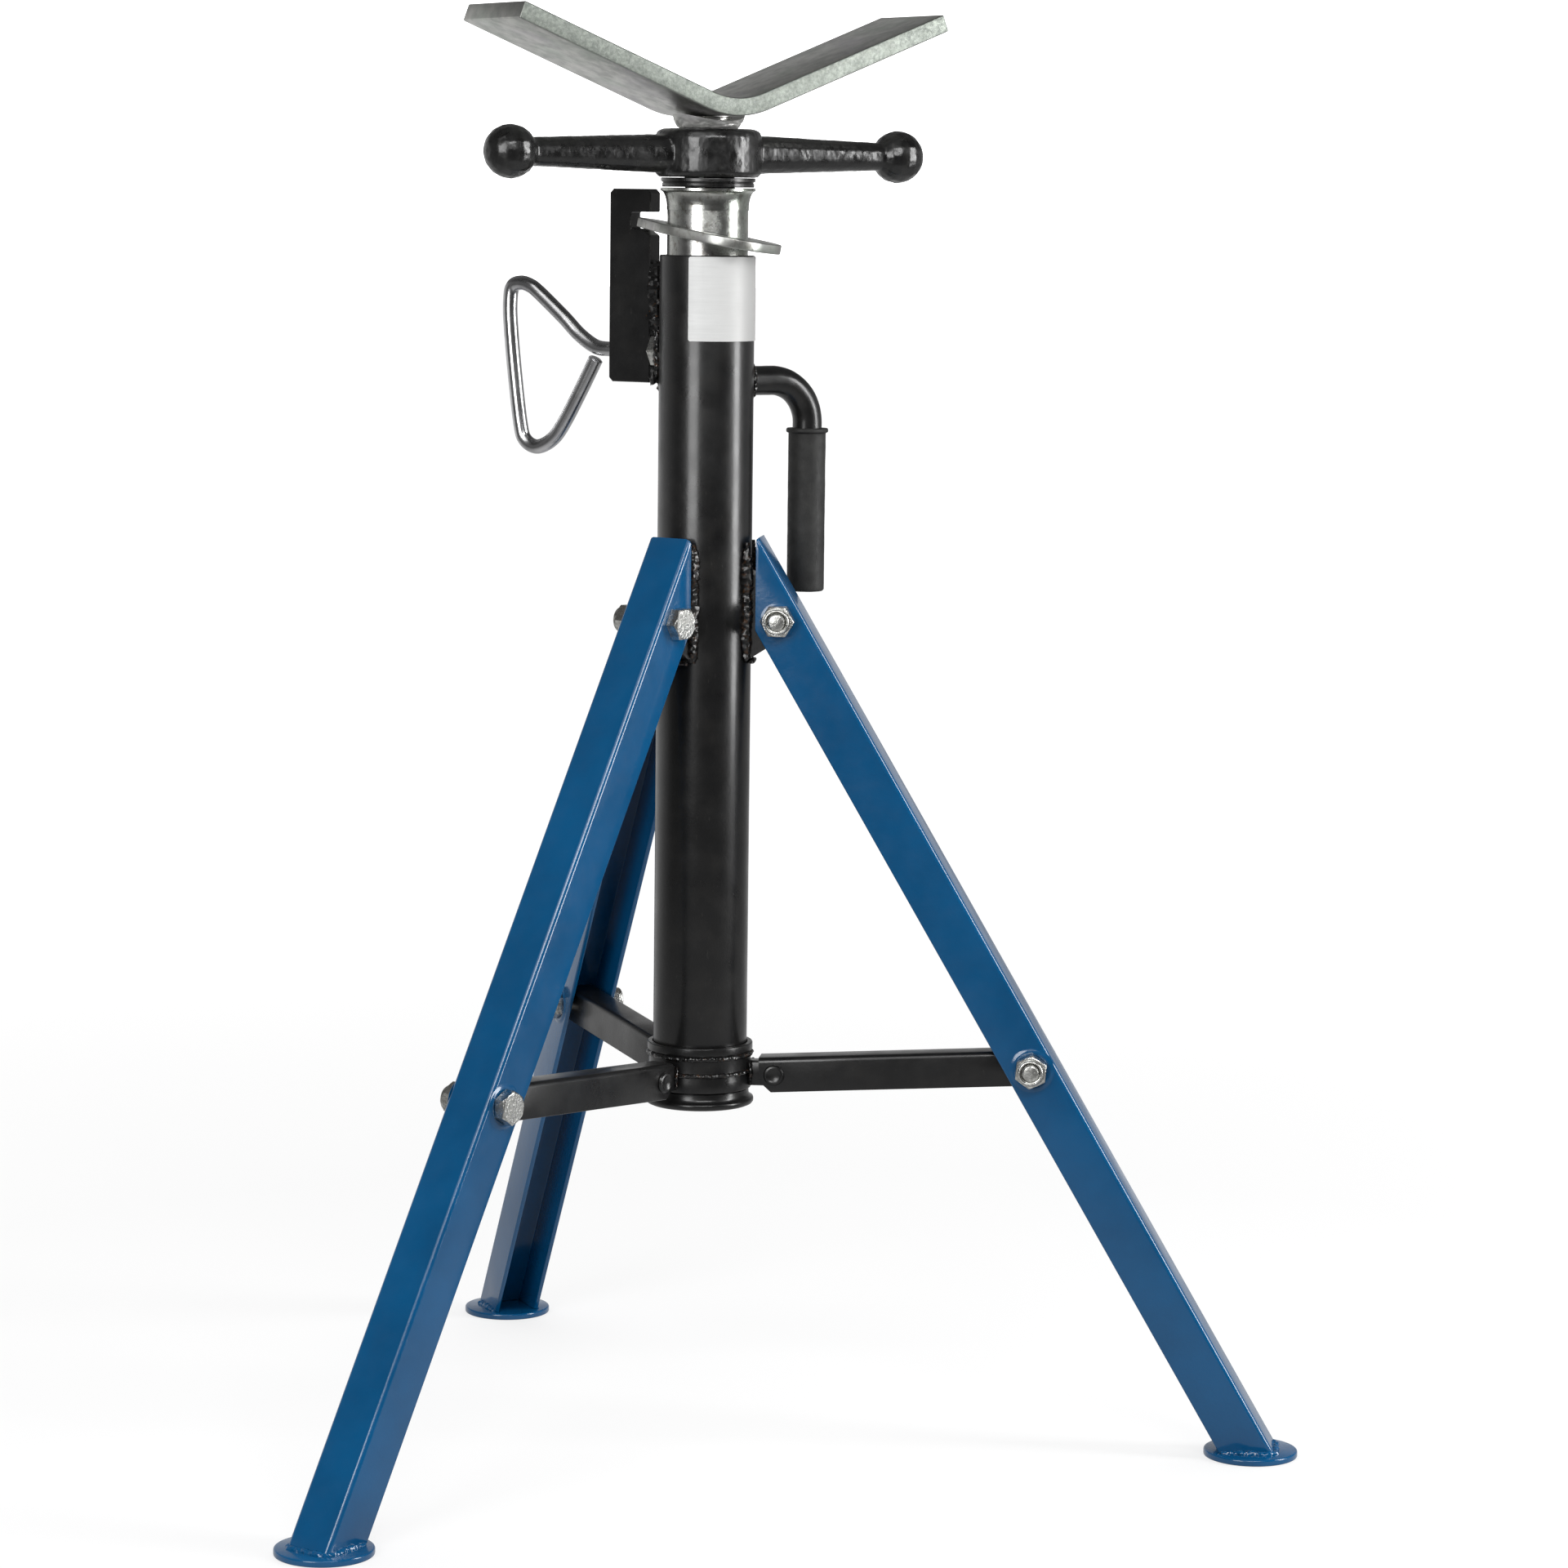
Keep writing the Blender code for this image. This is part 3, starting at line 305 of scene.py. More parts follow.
# Waves in the bead's radius, lumps and grain as shares of its width, and how fine each is
bead = {"sides": 14, "stepsPerRipple": 4, "plainShare": 0.88, "waveShare": 0.10, "driftShare": 0.24,
        "drift": 180, "driftRow": 0.3, "endShare": 0.45, "endRise": 60,
        "lumpShare": 0.16, "lump": 330, "lumpSeed": 3, "grainShare": 0.06, "grain": 1100, "grainSeed": 8}


def weldBead(points, width, seed=0.0, ripple=0.0017, closed=False):  # overlapping ripples, uneven
    spacing = ripple / bead["stepsPerRipple"]
    path = spacedPath(points, spacing)
    if closed:
        path.pop()

    def radiusAt(share):
        along = share * len(path) * spacing
        fromEnd = min(along, len(path) * spacing - along)
        wave = abs(math.sin(math.pi * along / ripple)) * bead["waveShare"]
        drift = noise.noise(Vector((along * bead["drift"], seed, bead["driftRow"]))) * bead["driftShare"]
        taper = 1.0 if closed else min(1.0, bead["endShare"] + bead["endRise"] * fromEnd)
        return width / 2 * taper * (bead["plainShare"] + wave + drift)
    mesh = sweptTube(path, radiusAt, bead["sides"], closed)
    roughened(mesh, width * bead["lumpShare"], bead["lump"], seed + bead["lumpSeed"])
    return roughened(mesh, width * bead["grainShare"], bead["grain"], seed + bead["grainSeed"])


# Material helpers

def addNode(tree, kind, inputs=None, **settings):
    node = tree.nodes.new("ShaderNode" + kind)
    for key, value in settings.items():
        setattr(node, key, value)
    for key, value in (inputs or {}).items():
        if isinstance(value, bpy.types.NodeSocket):
            tree.links.new(value, node.inputs[key])
        else:
            node.inputs[key].default_value = value
    return node


def maths(tree, operation, first, second=0.0):
    return addNode(tree, "Math", {0: first, 1: second}, operation=operation).outputs[0]


def times(tree, first, second):
    return maths(tree, 'MULTIPLY', first, second)


def grain(tree, scale, detail, stretch=(1, 1, 1), rough=0.55):  # noise in the piece's own coordinates
    place = addNode(tree, "TexCoord").outputs["Object"]
    place = addNode(tree, "Mapping", {"Vector": place, "Scale": stretch}).outputs["Vector"]
    inputs = {"Vector": place, "Scale": scale, "Detail": detail, "Roughness": rough}
    return addNode(tree, "TexNoise", inputs).outputs["Fac"]


def between(tree, value, low, high, outLow=0.0, outHigh=1.0):
    inputs = {"Value": value, "From Min": low, "From Max": high, "To Min": outLow, "To Max": outHigh}
    return addNode(tree, "MapRange", inputs).outputs["Result"]


def asColour(value):
    return value if isinstance(value, bpy.types.NodeSocket) else (*value, 1.0)


def mixedColour(tree, share, first, second):  # 6 and 7 are the node's two colour inputs
    inputs = {0: share, 6: asColour(first), 7: asColour(second)}
    return addNode(tree, "Mix", inputs, data_type='RGBA').outputs[2]


def bumped(tree, relief, height, strength=1.0, normal=None):
    inputs = {"Height": relief, "Distance": height, "Strength": strength}
    if normal is not None:
        inputs["Normal"] = normal
    return addNode(tree, "Bump", inputs).outputs["Normal"]


# Finishes. A grain is its scale and detail, then its stretch along X, Y and Z, and how rough it is.
# A finish starts from a colour. Each tint comes in over a span of its grain's values, or of places
# in X where it has no grain, up to the share that stands last, or in full.
# Roughness is a grain and the two values it runs between. Bumps are grains, each with its height
# and strength, laid on from the first to the last.

roughnessRange = (0.3, 0.7)

blueEnamel = {
    "slot": "blue_paint",
    "sockets": {"Coat Weight": 0.6, "Coat Roughness": 0.075, "Specular IOR Level": 0.34},
    "colour": (0.0018, 0.065, 0.171),
    "tints": [
        ((0.0018, 0.079, 0.206), (22, 4), (0.35, 0.65)),
        ((0.03, 0.12, 0.24), (1300, 2), (0.70, 0.76), 0.25),  # dust caught in the paint
    ],
    "roughness": ((90, 3), 0.14, 0.27),
    "bumps": [((55, 2), 0.0006, 0.35), ((620, 2), 0.00005, 1.0)],
}

blackEnamel = {
    "slot": "black_paint",
    "sockets": {"Coat Weight": 0.25, "Coat Roughness": 0.16, "Specular IOR Level": 0.42},
    "colour": (0.0055, 0.0055, 0.0057),
    "tints": [
        ((0.011, 0.0105, 0.010), (70, 4), (0.45, 0.75)),
        ((0.045, 0.043, 0.040), (900, 2, (1, 1, 0.25)), (0.68, 0.78), 0.4),  # upright streaks of dust
    ],
    "roughness": ((60, 3), 0.26, 0.38),
    "bumps": [((520, 2), 0.00005, 1.0)],
}

weldRust = {"colour": (0.060, 0.026, 0.010), "grain": (420, 4), "full": 0.70, "share": 0.85,
            "roughness": (60, 3), "spread": 0.12, "lumps": (300, 4)}


def weldPaint(rustFrom, roughness, lumpHeight):  # the black paint over a rusting weld
    rust = (weldRust["colour"], weldRust["grain"], (rustFrom, weldRust["full"]), weldRust["share"])
    return {
        **blackEnamel,
        "tints": blackEnamel["tints"] + [rust],
        "roughness": (weldRust["roughness"], roughness, roughness + weldRust["spread"]),
        "bumps": blackEnamel["bumps"] + [(weldRust["lumps"], lumpHeight, 1.0)],
    }


castSand = (330, 5, (1, 1, 0.35), 0.62)  # drawn out downwards, where the coating ran
castNutBlack = {
    "slot": "cast_black",
    "sockets": {"Coat Weight": 0.35, "Coat Roughness": 0.16},
    "colour": (0.0055, 0.0055, 0.0055),
    "tints": [((0.011, 0.0107, 0.010), castSand, (0.5, 0.72))],
    "roughness": ((150, 3), 0.20, 0.45),
    "bumps": [((95, 3), 0.0007, 0.6), (castSand, 0.00022, 0.8)],
}

zincMottle = (120, 5, (1, 1, 1), 0.65)
zinc = {
    "colour": (0.44, 0.45, 0.43),
    "tints": [
        ((0.58, 0.58, 0.55), zincMottle, (0.36, 0.62)),
        ((0.42, 0.49, 0.42), (38, 3), (0.50, 0.72), 0.55),  # a green cast
        ((0.46, 0.43, 0.48), (27, 2), (0.55, 0.75), 0.5),  # and a lilac one
    ],
    "stain": ((0.17, 0.15, 0.12), (330, 5, (1, 1, 0.6), 0.7), (0.54, 0.68)),
    "rougher": 0.10, "smoother": 0.06, "grain": (700, 4), "scratches": (260, 3), "scratchShare": 0.7,
}


def zincPlate(roughness, grainHeight, scratchWay=(1, 1, 1), stains=0.0, metal=1.0, shear=None):
    scratches = (*zinc["scratches"], scratchWay)
    return {
        "slot": "zinc_plate",
        "sockets": {"Metallic": metal},
        "colour": zinc["colour"],
        "tints": zinc["tints"] + ([(*zinc["stain"], stains)] if stains else []),
        "roughness": (zincMottle, roughness + zinc["rougher"], roughness - zinc["smoother"]),
        "bumps": [(zinc["grain"], grainHeight, 1.0), (scratches, grainHeight * zinc["scratchShare"], 1.0)],
        "shear": shear,
    }


# The sheared edges of the V are coarser than its rolled faces
headShear = {
    "axis": (-math.sin(math.radians(headAzimuth)), math.cos(math.radians(headAzimuth)), 0),
    "span": (0.6, 0.9), "grain": (480, 5, (1, 1, 1), 0.7), "colourSpan": (0.36, 0.64),
    "colour": (0.24, 0.26, 0.24), "lightColour": (0.37, 0.40, 0.36), "height": 0.00018, "rougher": 0.22,
}

brightWire = {
    "slot": "bright_wire",
    "sockets": {"Metallic": 1.0},
    "colour": (0.56, 0.56, 0.57),
    "tints": [((0.68, 0.68, 0.69), (160, 3), (0.35, 0.65))],
    "roughness": ((60, 2), 0.20, 0.25),
    "bumps": [],
}

boltMottle = (420, 4, (1, 1, 1), 0.65)
boltZinc = {
    "slot": "plated_bolt",
    "sockets": {"Metallic": 1.0},
    "colour": (0.40, 0.40, 0.38),
    "tints": [((0.78, 0.78, 0.75), boltMottle, (0.38, 0.62))],
    "roughness": (boltMottle, 0.38, 0.20),
    "bumps": [((650, 4), 0.00022, 1.0)],
}

gripRubber = {
    "slot": "black_rubber",
    "sockets": {"Specular IOR Level": 0.35},
    "colour": (0.014, 0.014, 0.0138),
    "tints": [((0.026, 0.026, 0.025), (110, 4), (0.35, 0.7))],
    "roughness": ((240, 3), 0.52, 0.68),
    "bumps": [((1100, 3), 0.00006, 1.0), ((70, 2), 0.0005, 0.5)],
}

foilBrushing = (900, 3, (0.06, 0.06, 1))
stickerFoil = {
    "slot": "silver_foil",
    "sockets": {"Metallic": 0.12, "Coat Weight": 0.1, "Coat Roughness": 0.3, "Specular IOR Level": 0.4},
    "colour": (0.64, 0.645, 0.64),
    "tints": [
        ((0.70, 0.705, 0.70), foilBrushing, roughnessRange),
        ((0.43, 0.43, 0.425), None, (columnPlace.x - 0.004, columnPlace.x + 0.022)),  # painted shade: the foil is darker towards the right
    ],
    "roughness": ((120, 2), 0.50, 0.60),
    "bumps": [(foilBrushing, 0.00002, 1.0), ((60, 3), 0.0004, 0.4)],
}

finishes = {
    "blueEnamel": blueEnamel,
    "blackEnamel": blackEnamel,
    "blackWeld": weldPaint(0.58, 0.11, 0.00025),
    "rustyWeld": weldPaint(0.52, 0.26, 0.0002),
    "castNutBlack": castNutBlack,
    "tubeZinc": zincPlate(0.22, 0.00004, (1, 1, 0.08), stains=0.75),
    "headZinc": zincPlate(0.34, 0.00005, (0.2, 0.2, 1), shear=headShear),
    "ringZinc": zincPlate(0.35, 0.00006, stains=0.4),
    "threadZinc": zincPlate(0.28, 0.0001),
    "weldZinc": zincPlate(0.42, 0.00022, metal=0.4),
    "brightWire": brightWire,
    "boltZinc": boltZinc,
    "gripRubber": gripRubber,
    "stickerFoil": stickerFoil,
}


def shearedEdges(tree, shear, colour, roughness, normal):
    facing = addNode(tree, "TexCoord").outputs["Normal"]
    dot = addNode(tree, "VectorMath", {0: facing, 1: shear["axis"]}, operation='DOT_PRODUCT')
    edge = between(tree, maths(tree, 'ABSOLUTE', dot.outputs["Value"]), *shear["span"])
    crystals = grain(tree, *shear["grain"])
    share = between(tree, crystals, *shear["colourSpan"])
    edgeColour = mixedColour(tree, share, shear["colour"], shear["lightColour"])
    colour = mixedColour(tree, edge, colour, edgeColour)
    roughness = maths(tree, 'ADD', roughness, times(tree, edge, shear["rougher"]))
    return colour, roughness, bumped(tree, times(tree, crystals, edge), shear["height"], 1.0, normal)


def makeLook(name, plan):
    look = bpy.data.materials.new(name)
    look.use_nodes = True
    tree = look.node_tree
    shader = tree.nodes["Principled BSDF"]
    for socket, value in plan["sockets"].items():
        shader.inputs[socket].default_value = value
    colour = plan["colour"]
    for tint, grainPlan, span, *share in plan["tints"]:
        if grainPlan:
            value = grain(tree, *grainPlan)
        else:
            place = addNode(tree, "TexCoord").outputs["Object"]
            value = addNode(tree, "SeparateXYZ", {"Vector": place}).outputs["X"]
        colour = mixedColour(tree, between(tree, value, *span, 0.0, *(share or [1.0])), colour, tint)
    grainPlan, lowest, highest = plan["roughness"]
    roughness = between(tree, grain(tree, *grainPlan), *roughnessRange, lowest, highest)
    normal = None
    for grainPlan, height, strength in plan["bumps"]:
        normal = bumped(tree, grain(tree, *grainPlan), height, strength, normal)
    if plan.get("shear"):
        colour, roughness, normal = shearedEdges(tree, plan["shear"], colour, roughness, normal)
    tree.links.new(colour, shader.inputs["Base Color"])
    tree.links.new(roughness, shader.inputs["Roughness"])
    if normal is not None:
        tree.links.new(normal, shader.inputs["Normal"])
    return look


looks = {name: makeLook(name, plan) for name, plan in finishes.items()}
print("finishes made:", len(looks))


# Pieces and nodes get their finish here. Edges sharper than the angle, in degrees, stay crisp.

def finished(mesh, finish, sharp=35):
    mesh.materials.clear()
    mesh.materials.append(looks[finish])
    mesh.shade_smooth()
    mesh.set_sharp_from_angle(angle=math.radians(sharp))


def show(mesh, name, finish, body, replaced=(), azimuth=0.0, sharp=35):
    mesh.transform(Matrix.Translation(columnPlace) @ turnedBy(azimuth, 'Z'))
    mesh.name = name
    finished(mesh, finish, sharp)
    piece = linked(name, mesh)
    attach(piece, body)
    if replaced:
        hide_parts(*replaced)
    return piece


def showBead(points, name, width, seed, finish, body, azimuth=0.0, ripple=0.0017, closed=False):
    show(weldBead(points, width, seed, ripple, closed), name, finish, body, azimuth=azimuth)


def dressNode(name, finish):
    finished(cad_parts[name].data, finish)


# The column

column = {
    "radius": 0.0254, "wall": 0.003, "bottom": 0.184, "top": 0.6424, "lip": 0.0007,
    "innerRadius": 0.0216, "innerWall": 0.0032, "innerBottom": 0.190, "innerTop": 0.6779, "innerLip": 0.0005,
    "pinHeight": 0.5908, "pinHole": 0.0043, "holePitch": 0.0508, "holes": 8, "drillReach": 0.04,
    "lipSteps": 3, "steps": 128, "ringSteps": 112, "holeSteps": 32,
}


def pipe(radius, wall, low, high, lip):
    bore = radius - wall
    corners = ((bore, low), (radius, low), (radius, high), (bore, high))
    return revolved(roundedOutline(corners, (lip, lip, lip, lip), column["lipSteps"]), column["steps"])


def drillAt(height):
    drill = rod(column["pinHole"], 0, column["drillReach"], column["holeSteps"])
    return placed(drill, turnedBy(latchAzimuth, 'Z'), moved(0, 0, height), turnedBy(90, 'Y'))


tubeMesh = pipe(column["radius"], column["wall"], column["bottom"], column["top"], column["lip"])
tubeMesh = cutBy(tubeMesh, drillAt(column["pinHeight"]))
show(tubeMesh, "outerTube", "blackEnamel", "frame_tube", ["outer_tube"])

innerMesh = pipe(column["innerRadius"], column["innerWall"], column["innerBottom"], column["innerTop"],
                 column["innerLip"])
drills = [drillAt(column["pinHeight"] - index * column["holePitch"]) for index in range(column["holes"])]
show(cutBy(innerMesh, *drills), "innerTube", "tubeZinc", "lift_tube", ["inner_tube"])

seat = {"bore": 0.0219, "radius": 0.0253, "top": 0.6779, "height": 0.0118, "root": 0.02175, "band": 0.0016,
        "edge": 0.0003, "flareSteps": 8}


def seatMesh():  # a hollow flare that ends in a short band
    bore, radius, root, top, edge = (seat[key] for key in ("bore", "radius", "root", "top", "edge"))
    profile = [(bore, top - seat["height"]), (root, top - seat["height"])]
    for step in range(1, seat["flareSteps"] + 1):
        quarter = step / seat["flareSteps"] * math.pi / 2
        rise = (seat["height"] - seat["band"]) * math.sin(quarter)
        spread = (radius - root) * (1 - math.cos(quarter))
        profile.append((root + spread, top - seat["height"] + rise))
    profile += [(radius, top - edge), (radius - edge, top), (bore, top)]
    return revolved(profile, column["steps"])


show(seatMesh(), "topSeat", "tubeZinc", "lift_tube", ["tube_top_seat"])

thrust = {"bore": 0.0149, "radius": 0.0252, "low": 0.6782, "height": 0.005, "groove": 0.0007, "step": 0.0006,
          "rounds": (0, 0.0005, 0, 0.0003, 0, 0.0005, 0), "roundSteps": 3}


def thrustMesh():  # a ring with a groove round its middle
    bore, radius, low, step = (thrust[key] for key in ("bore", "radius", "low", "step"))
    high = low + thrust["height"]
    middle = (low + high) / 2
    profile = rounded(thrust, (
        (bore, low), (radius - step, low), (radius - step, middle - step),
        (radius - thrust["groove"] - step, middle), (radius, middle + step), (radius, high), (bore, high)))
    return revolved(profile, column["ringSteps"])


show(thrustMesh(), "thrustRing", "castNutBlack", "lift_tube", ["thrust_ring"])

stop = {"bore": 0.0257, "low": 0.184, "high": 0.1926,
        "saucer": ((0.0272, 0.184), (0.0286, 0.1846), (0.0293, 0.1856), (0.0294, 0.1868), (0.0291, 0.1877),
                   (0.0283, 0.1880), (0.0274, 0.1887), (0.0268, 0.1900), (0.0266, 0.1926))}
stopProfile = [(stop["bore"], stop["low"]), *stop["saucer"], (stop["bore"], stop["high"])]
show(revolved(stopProfile, column["ringSteps"]), "stopRing", "blackEnamel", "frame_tube", ["tube_stop_ring"],
     sharp=60)


# The sticker round the tube's top

sticker = {"radius": 0.0257, "thickness": 0.0002, "high": 0.6418, "height": 0.0445, "start": 247.6,
           "sweep": 190, "corner": 0.0009, "columns": 120, "rows": 12}


def stickerMesh():
    points, faces = [], []
    arc = math.radians(sticker["sweep"]) * sticker["radius"]
    columns, rows = sticker["columns"], sticker["rows"]
    size = (columns + 1) * (rows + 1)
    for layer in (0, 1):
        radius = sticker["radius"] + layer * sticker["thickness"]
        for across in range(columns + 1):
            along = arc * across / columns
            fromEnd = min(along, arc - along)
            inset = 0.0
            if fromEnd < sticker["corner"]:  # rounded corners
                share = min(1.0, 1 - fromEnd / sticker["corner"])
                inset = sticker["corner"] * (1 - math.sqrt(max(0.0, 1 - share ** 2)))
            turn = math.radians(sticker["start"]) + along / sticker["radius"]
            for up in range(rows + 1):
                height = sticker["high"] - inset - (sticker["height"] - 2 * inset) * up / rows
                points.append(around(radius, turn, height))
        for across in range(columns):
            for up in range(rows):
                corner = layer * size + across * (rows + 1) + up
                faces.append((corner, corner + 1, corner + rows + 2, corner + rows + 1))
    rim = list(range(rows + 1))
    rim += [across * (rows + 1) + rows for across in range(1, columns + 1)]
    rim += [columns * (rows + 1) + up for up in range(rows - 1, -1, -1)]
    rim += [across * (rows + 1) for across in range(columns - 1, 0, -1)]
    for here, there in zip(rim, rim[1:] + rim[:1]):
        faces.append((here, there, there + size, here + size))
    return meshFrom(points, faces)


show(stickerMesh(), "bareSticker", "stickerFoil", "frame_tube", ["label_plate"])
print("column done")


# The cast nut with its ball arms

castNut = {"voxel": 0.0008, "smoothing": 0.6, "smoothPasses": 3, "lumps": (0.00014, 210, 5),
           "bore": 0.0147, "boreLow": 0.6735, "boreHigh": 0.719}


def castNutMesh():  # the CAD solid with its edges melted together, and the bore cut again
    def setUp(holder):
        remesh = holder.modifiers.new("cast", 'REMESH')
        remesh.mode = 'VOXEL'
        remesh.voxel_size = castNut["voxel"]
        smooth = holder.modifiers.new("fillets", 'SMOOTH')
        smooth.factor = castNut["smoothing"]
        smooth.iterations = castNut["smoothPasses"]
    mesh = modified(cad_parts["handle_nut"].data.copy(), setUp)
    mesh.transform(Matrix.Translation(-columnPlace))
    roughened(mesh, *castNut["lumps"])
    return cutBy(mesh, rod(castNut["bore"], castNut["boreLow"], castNut["boreHigh"]))


show(castNutMesh(), "castNut", "castNutBlack", "turn_nut", ["handle_nut"], sharp=60)


# The lift screw

screw = {"radius": 0.0143, "depth": 0.0021, "pitch": 0.005, "low": 0.5655, "threadLow": 0.600,
         "high": 0.71547, "flankSlope": 4.4, "flankStart": 0.62, "rowHeight": 0.0005, "columns": 72}


def screwMesh():
    rows = [screw["low"], screw["threadLow"]]
    while rows[-1] + screw["rowHeight"] < screw["high"]:
        rows.append(rows[-1] + screw["rowHeight"])
    rows.append(screw["high"])
    points, count = [], screw["columns"]
    for height in rows:
        for step in range(count):
            phase = (height / screw["pitch"] - step / count) % 1.0
            slope = abs(phase - 0.5) * screw["flankSlope"] - screw["flankStart"]
            flank = min(1.0, max(0.0, slope))  # a trapezoid thread
            if height <= screw["threadLow"]:
                flank = 1.0
            points.append(around(screw["radius"] - screw["depth"] * flank, math.tau * step / count, height))
    ends = [ringFace(0, count), ringFace(len(rows) - 1, count)]
    return meshFrom(points, bridged(len(rows), count) + ends)


show(screwMesh(), "threadedScrew", "threadZinc", "head_screw", ["lift_screw"], sharp=28)
dressNode("screw_end_stop", "threadZinc")


# The V head

vBar = {"width": 0.0635, "thickness": 0.0095, "slope": 21.4, "arm": 0.1363, "bend": 0.042, "vertex": 0.722,
        "edge": 0.0009, "bendSteps": 24}


def vHeadMesh():
    slope = math.radians(vBar["slope"])
    cosine, sine = math.cos(slope), math.sin(slope)
    inner, outer = vBar["bend"], vBar["bend"] + vBar["thickness"]
    centre = vBar["vertex"] + inner / cosine
    tip = (vBar["arm"] * cosine, vBar["vertex"] + vBar["arm"] * sine)
    drop = (vBar["thickness"] * sine, -vBar["thickness"] * cosine)
    upper, lower = [(-tip[0], tip[1])], [(tip[0] + drop[0], tip[1] + drop[1])]
    for step in range(vBar["bendSteps"] + 1):
        turn = slope * (2 * step / vBar["bendSteps"] - 1)
        upper.append((inner * math.sin(turn), centre - inner * math.cos(turn)))
        lower.append((-outer * math.sin(turn), centre - outer * math.cos(turn)))
    upper.append(tip)
    lower.append((-tip[0] - drop[0], tip[1] + drop[1]))
    half = vBar["width"] / 2
    return softened(placed(extruded(upper + lower, (-half, half)), turnedBy(90, 'X')), vBar["edge"])


show(vHeadMesh(), "vHead", "headZinc", "head_screw", ["v_head"], headAzimuth)

# Each wave is its size, how fine it is round the weld and up it, and where its noise starts
headWeld = {"low": 0.7092, "lowRadius": 0.0155, "highRadius": 0.0192, "overlap": 0.0006, "levels": 14,
            "steps": 120, "waves": ((0.0011, 3.2, 1.7, 4), (0.0007, 9, 4, 9)), "spreadPower": 0.8,
            "fullAt": 0.8, "firstShare": 0.2}


def headWeldMesh():  # a crumpled collar of weld that climbs to the underside of both arms
    points, steps, levels, low = [], headWeld["steps"], headWeld["levels"], headWeld["low"]
    under, outer = vBar["vertex"] - vBar["thickness"], vBar["bend"] + vBar["thickness"]
    for level in range(levels + 1):
        share = level / levels
        spread = (headWeld["highRadius"] - headWeld["lowRadius"]) * share ** headWeld["spreadPower"]
        held = math.sin(math.pi * min(1, share * headWeld["fullAt"] + headWeld["firstShare"]))
        for turn in turnsOf(steps):
            crumple = sum(size * noise.noise(around(scale, turn, share * rise + start))
                          for size, scale, rise, start in headWeld["waves"])
            radius = headWeld["lowRadius"] + spread + crumple * held
            across = radius * math.cos(turn)
            high = under + outer - math.sqrt(outer ** 2 - across ** 2) + headWeld["overlap"]
            points.append((across, radius * math.sin(turn), low + (high - low) * share))
    faces = bridged(levels + 1, steps)
    middleLow, middleHigh = len(points), len(points) + 1
    points += [(0, 0, low), (0, 0, under + headWeld["overlap"])]
    for step in range(steps):
        ahead = (step + 1) % steps
        faces.append((middleLow, step, ahead))
        faces.append((middleHigh, levels * steps + step, levels * steps + ahead))
    return meshFrom(points, faces)


show(headWeldMesh(), "headWeld", "weldZinc", "head_screw", azimuth=headAzimuth, sharp=70)
print("nut, screw and head done")


# Latch bar and its welds to the tube

latch = {"reach": 0.0287, "side": 0.0046, "width": 0.0102, "low": 0.5738, "high": 0.6385, "ripple": 0.0046,
         "nutHalf": 0.0090, "nutReach": 0.0256, "nutSide": 0.0088, "nutRun": 0.0135, "nutWidth": 0.0044,
         "nutRipple": 0.0034,
         "footRun": ((0.0262, -0.0045, 0.5728), (0.0285, 0.0, 0.5708), (0.0262, 0.0045, 0.5728)),
         "footWidth": 0.0062, "footRipple": 0.003, "seeds": {"run": 4, "nut": 7, "foot": 9}}
dressNode("latch_bar", "blackEnamel")
dressNode("pin_guide_nut", "boltZinc")


def latchWeld(points, name, width, seed, ripple):
    showBead(points, "latchWeld" + name, width, seed, "blackWeld", "frame_tube", latchAzimuth, ripple)


pinHeight, seeds = column["pinHeight"], latch["seeds"]
weldRuns = {"Low": (latch["low"], pinHeight - latch["nutHalf"]),
            "High": (pinHeight + latch["nutHalf"], latch["high"])}
for wayName, way in ways.items():
    for level, heights in weldRuns.items():
        run = upright(latch["reach"], way * latch["side"], heights)
        latchWeld(run, wayName + level, latch["width"], seeds["run"] + way, latch["ripple"])
    heights = [pinHeight + share * latch["nutRun"] for share in (-1, 0, 1)]
    run = upright(latch["nutReach"], way * latch["nutSide"], heights)
    latchWeld(run, wayName + "Nut", latch["nutWidth"], seeds["nut"] + way, latch["nutRipple"])
run = [Vector(place) for place in latch["footRun"]]
latchWeld(run, "Foot", latch["footWidth"], seeds["foot"], latch["footRipple"])


# Lock ring, tilted on its tail

lockRing = {"thickness": 0.0051, "tilt": 9.4, "roll": 3.9, "tail": 0.0392, "nose": 0.0386, "width": 0.0572,
            "tailWidth": 0.0184, "neck": 0.0119, "tailHeight": 0.659, "hole": 0.0227, "edge": 0.0006,
            "rounds": (0.023, 0.03, 0.003, 0.003, 0.03, 0.023), "roundSteps": 18}


def lockRingMesh():
    tilt = math.radians(lockRing["tilt"])
    tail, nose = lockRing["tail"] / math.cos(tilt), lockRing["nose"] / math.cos(tilt)
    half, tailHalf, thick = lockRing["width"] / 2, lockRing["tailWidth"] / 2, lockRing["thickness"]
    neck = lockRing["neck"]
    corners = ((-nose, -half), (neck, -half), (tail, -tailHalf),
               (tail, tailHalf), (neck, half), (-nose, half))
    plate = extruded(rounded(lockRing, corners), (-thick / 2, thick / 2))
    plate = softened(cutBy(plate, rod(lockRing["hole"], -thick, thick)), lockRing["edge"])
    return placed(plate, moved(lockRing["tail"], 0, lockRing["tailHeight"]),
                  turnedBy(-lockRing["tilt"], 'Y'), turnedBy(lockRing["roll"], 'X'), moved(-tail))


show(lockRingMesh(), "lockRing", "ringZinc", "ring_plate", ["lock_ring"], latchAzimuth)


# Lock pin, whose loop is given outward and upward as shares of its reach and drop

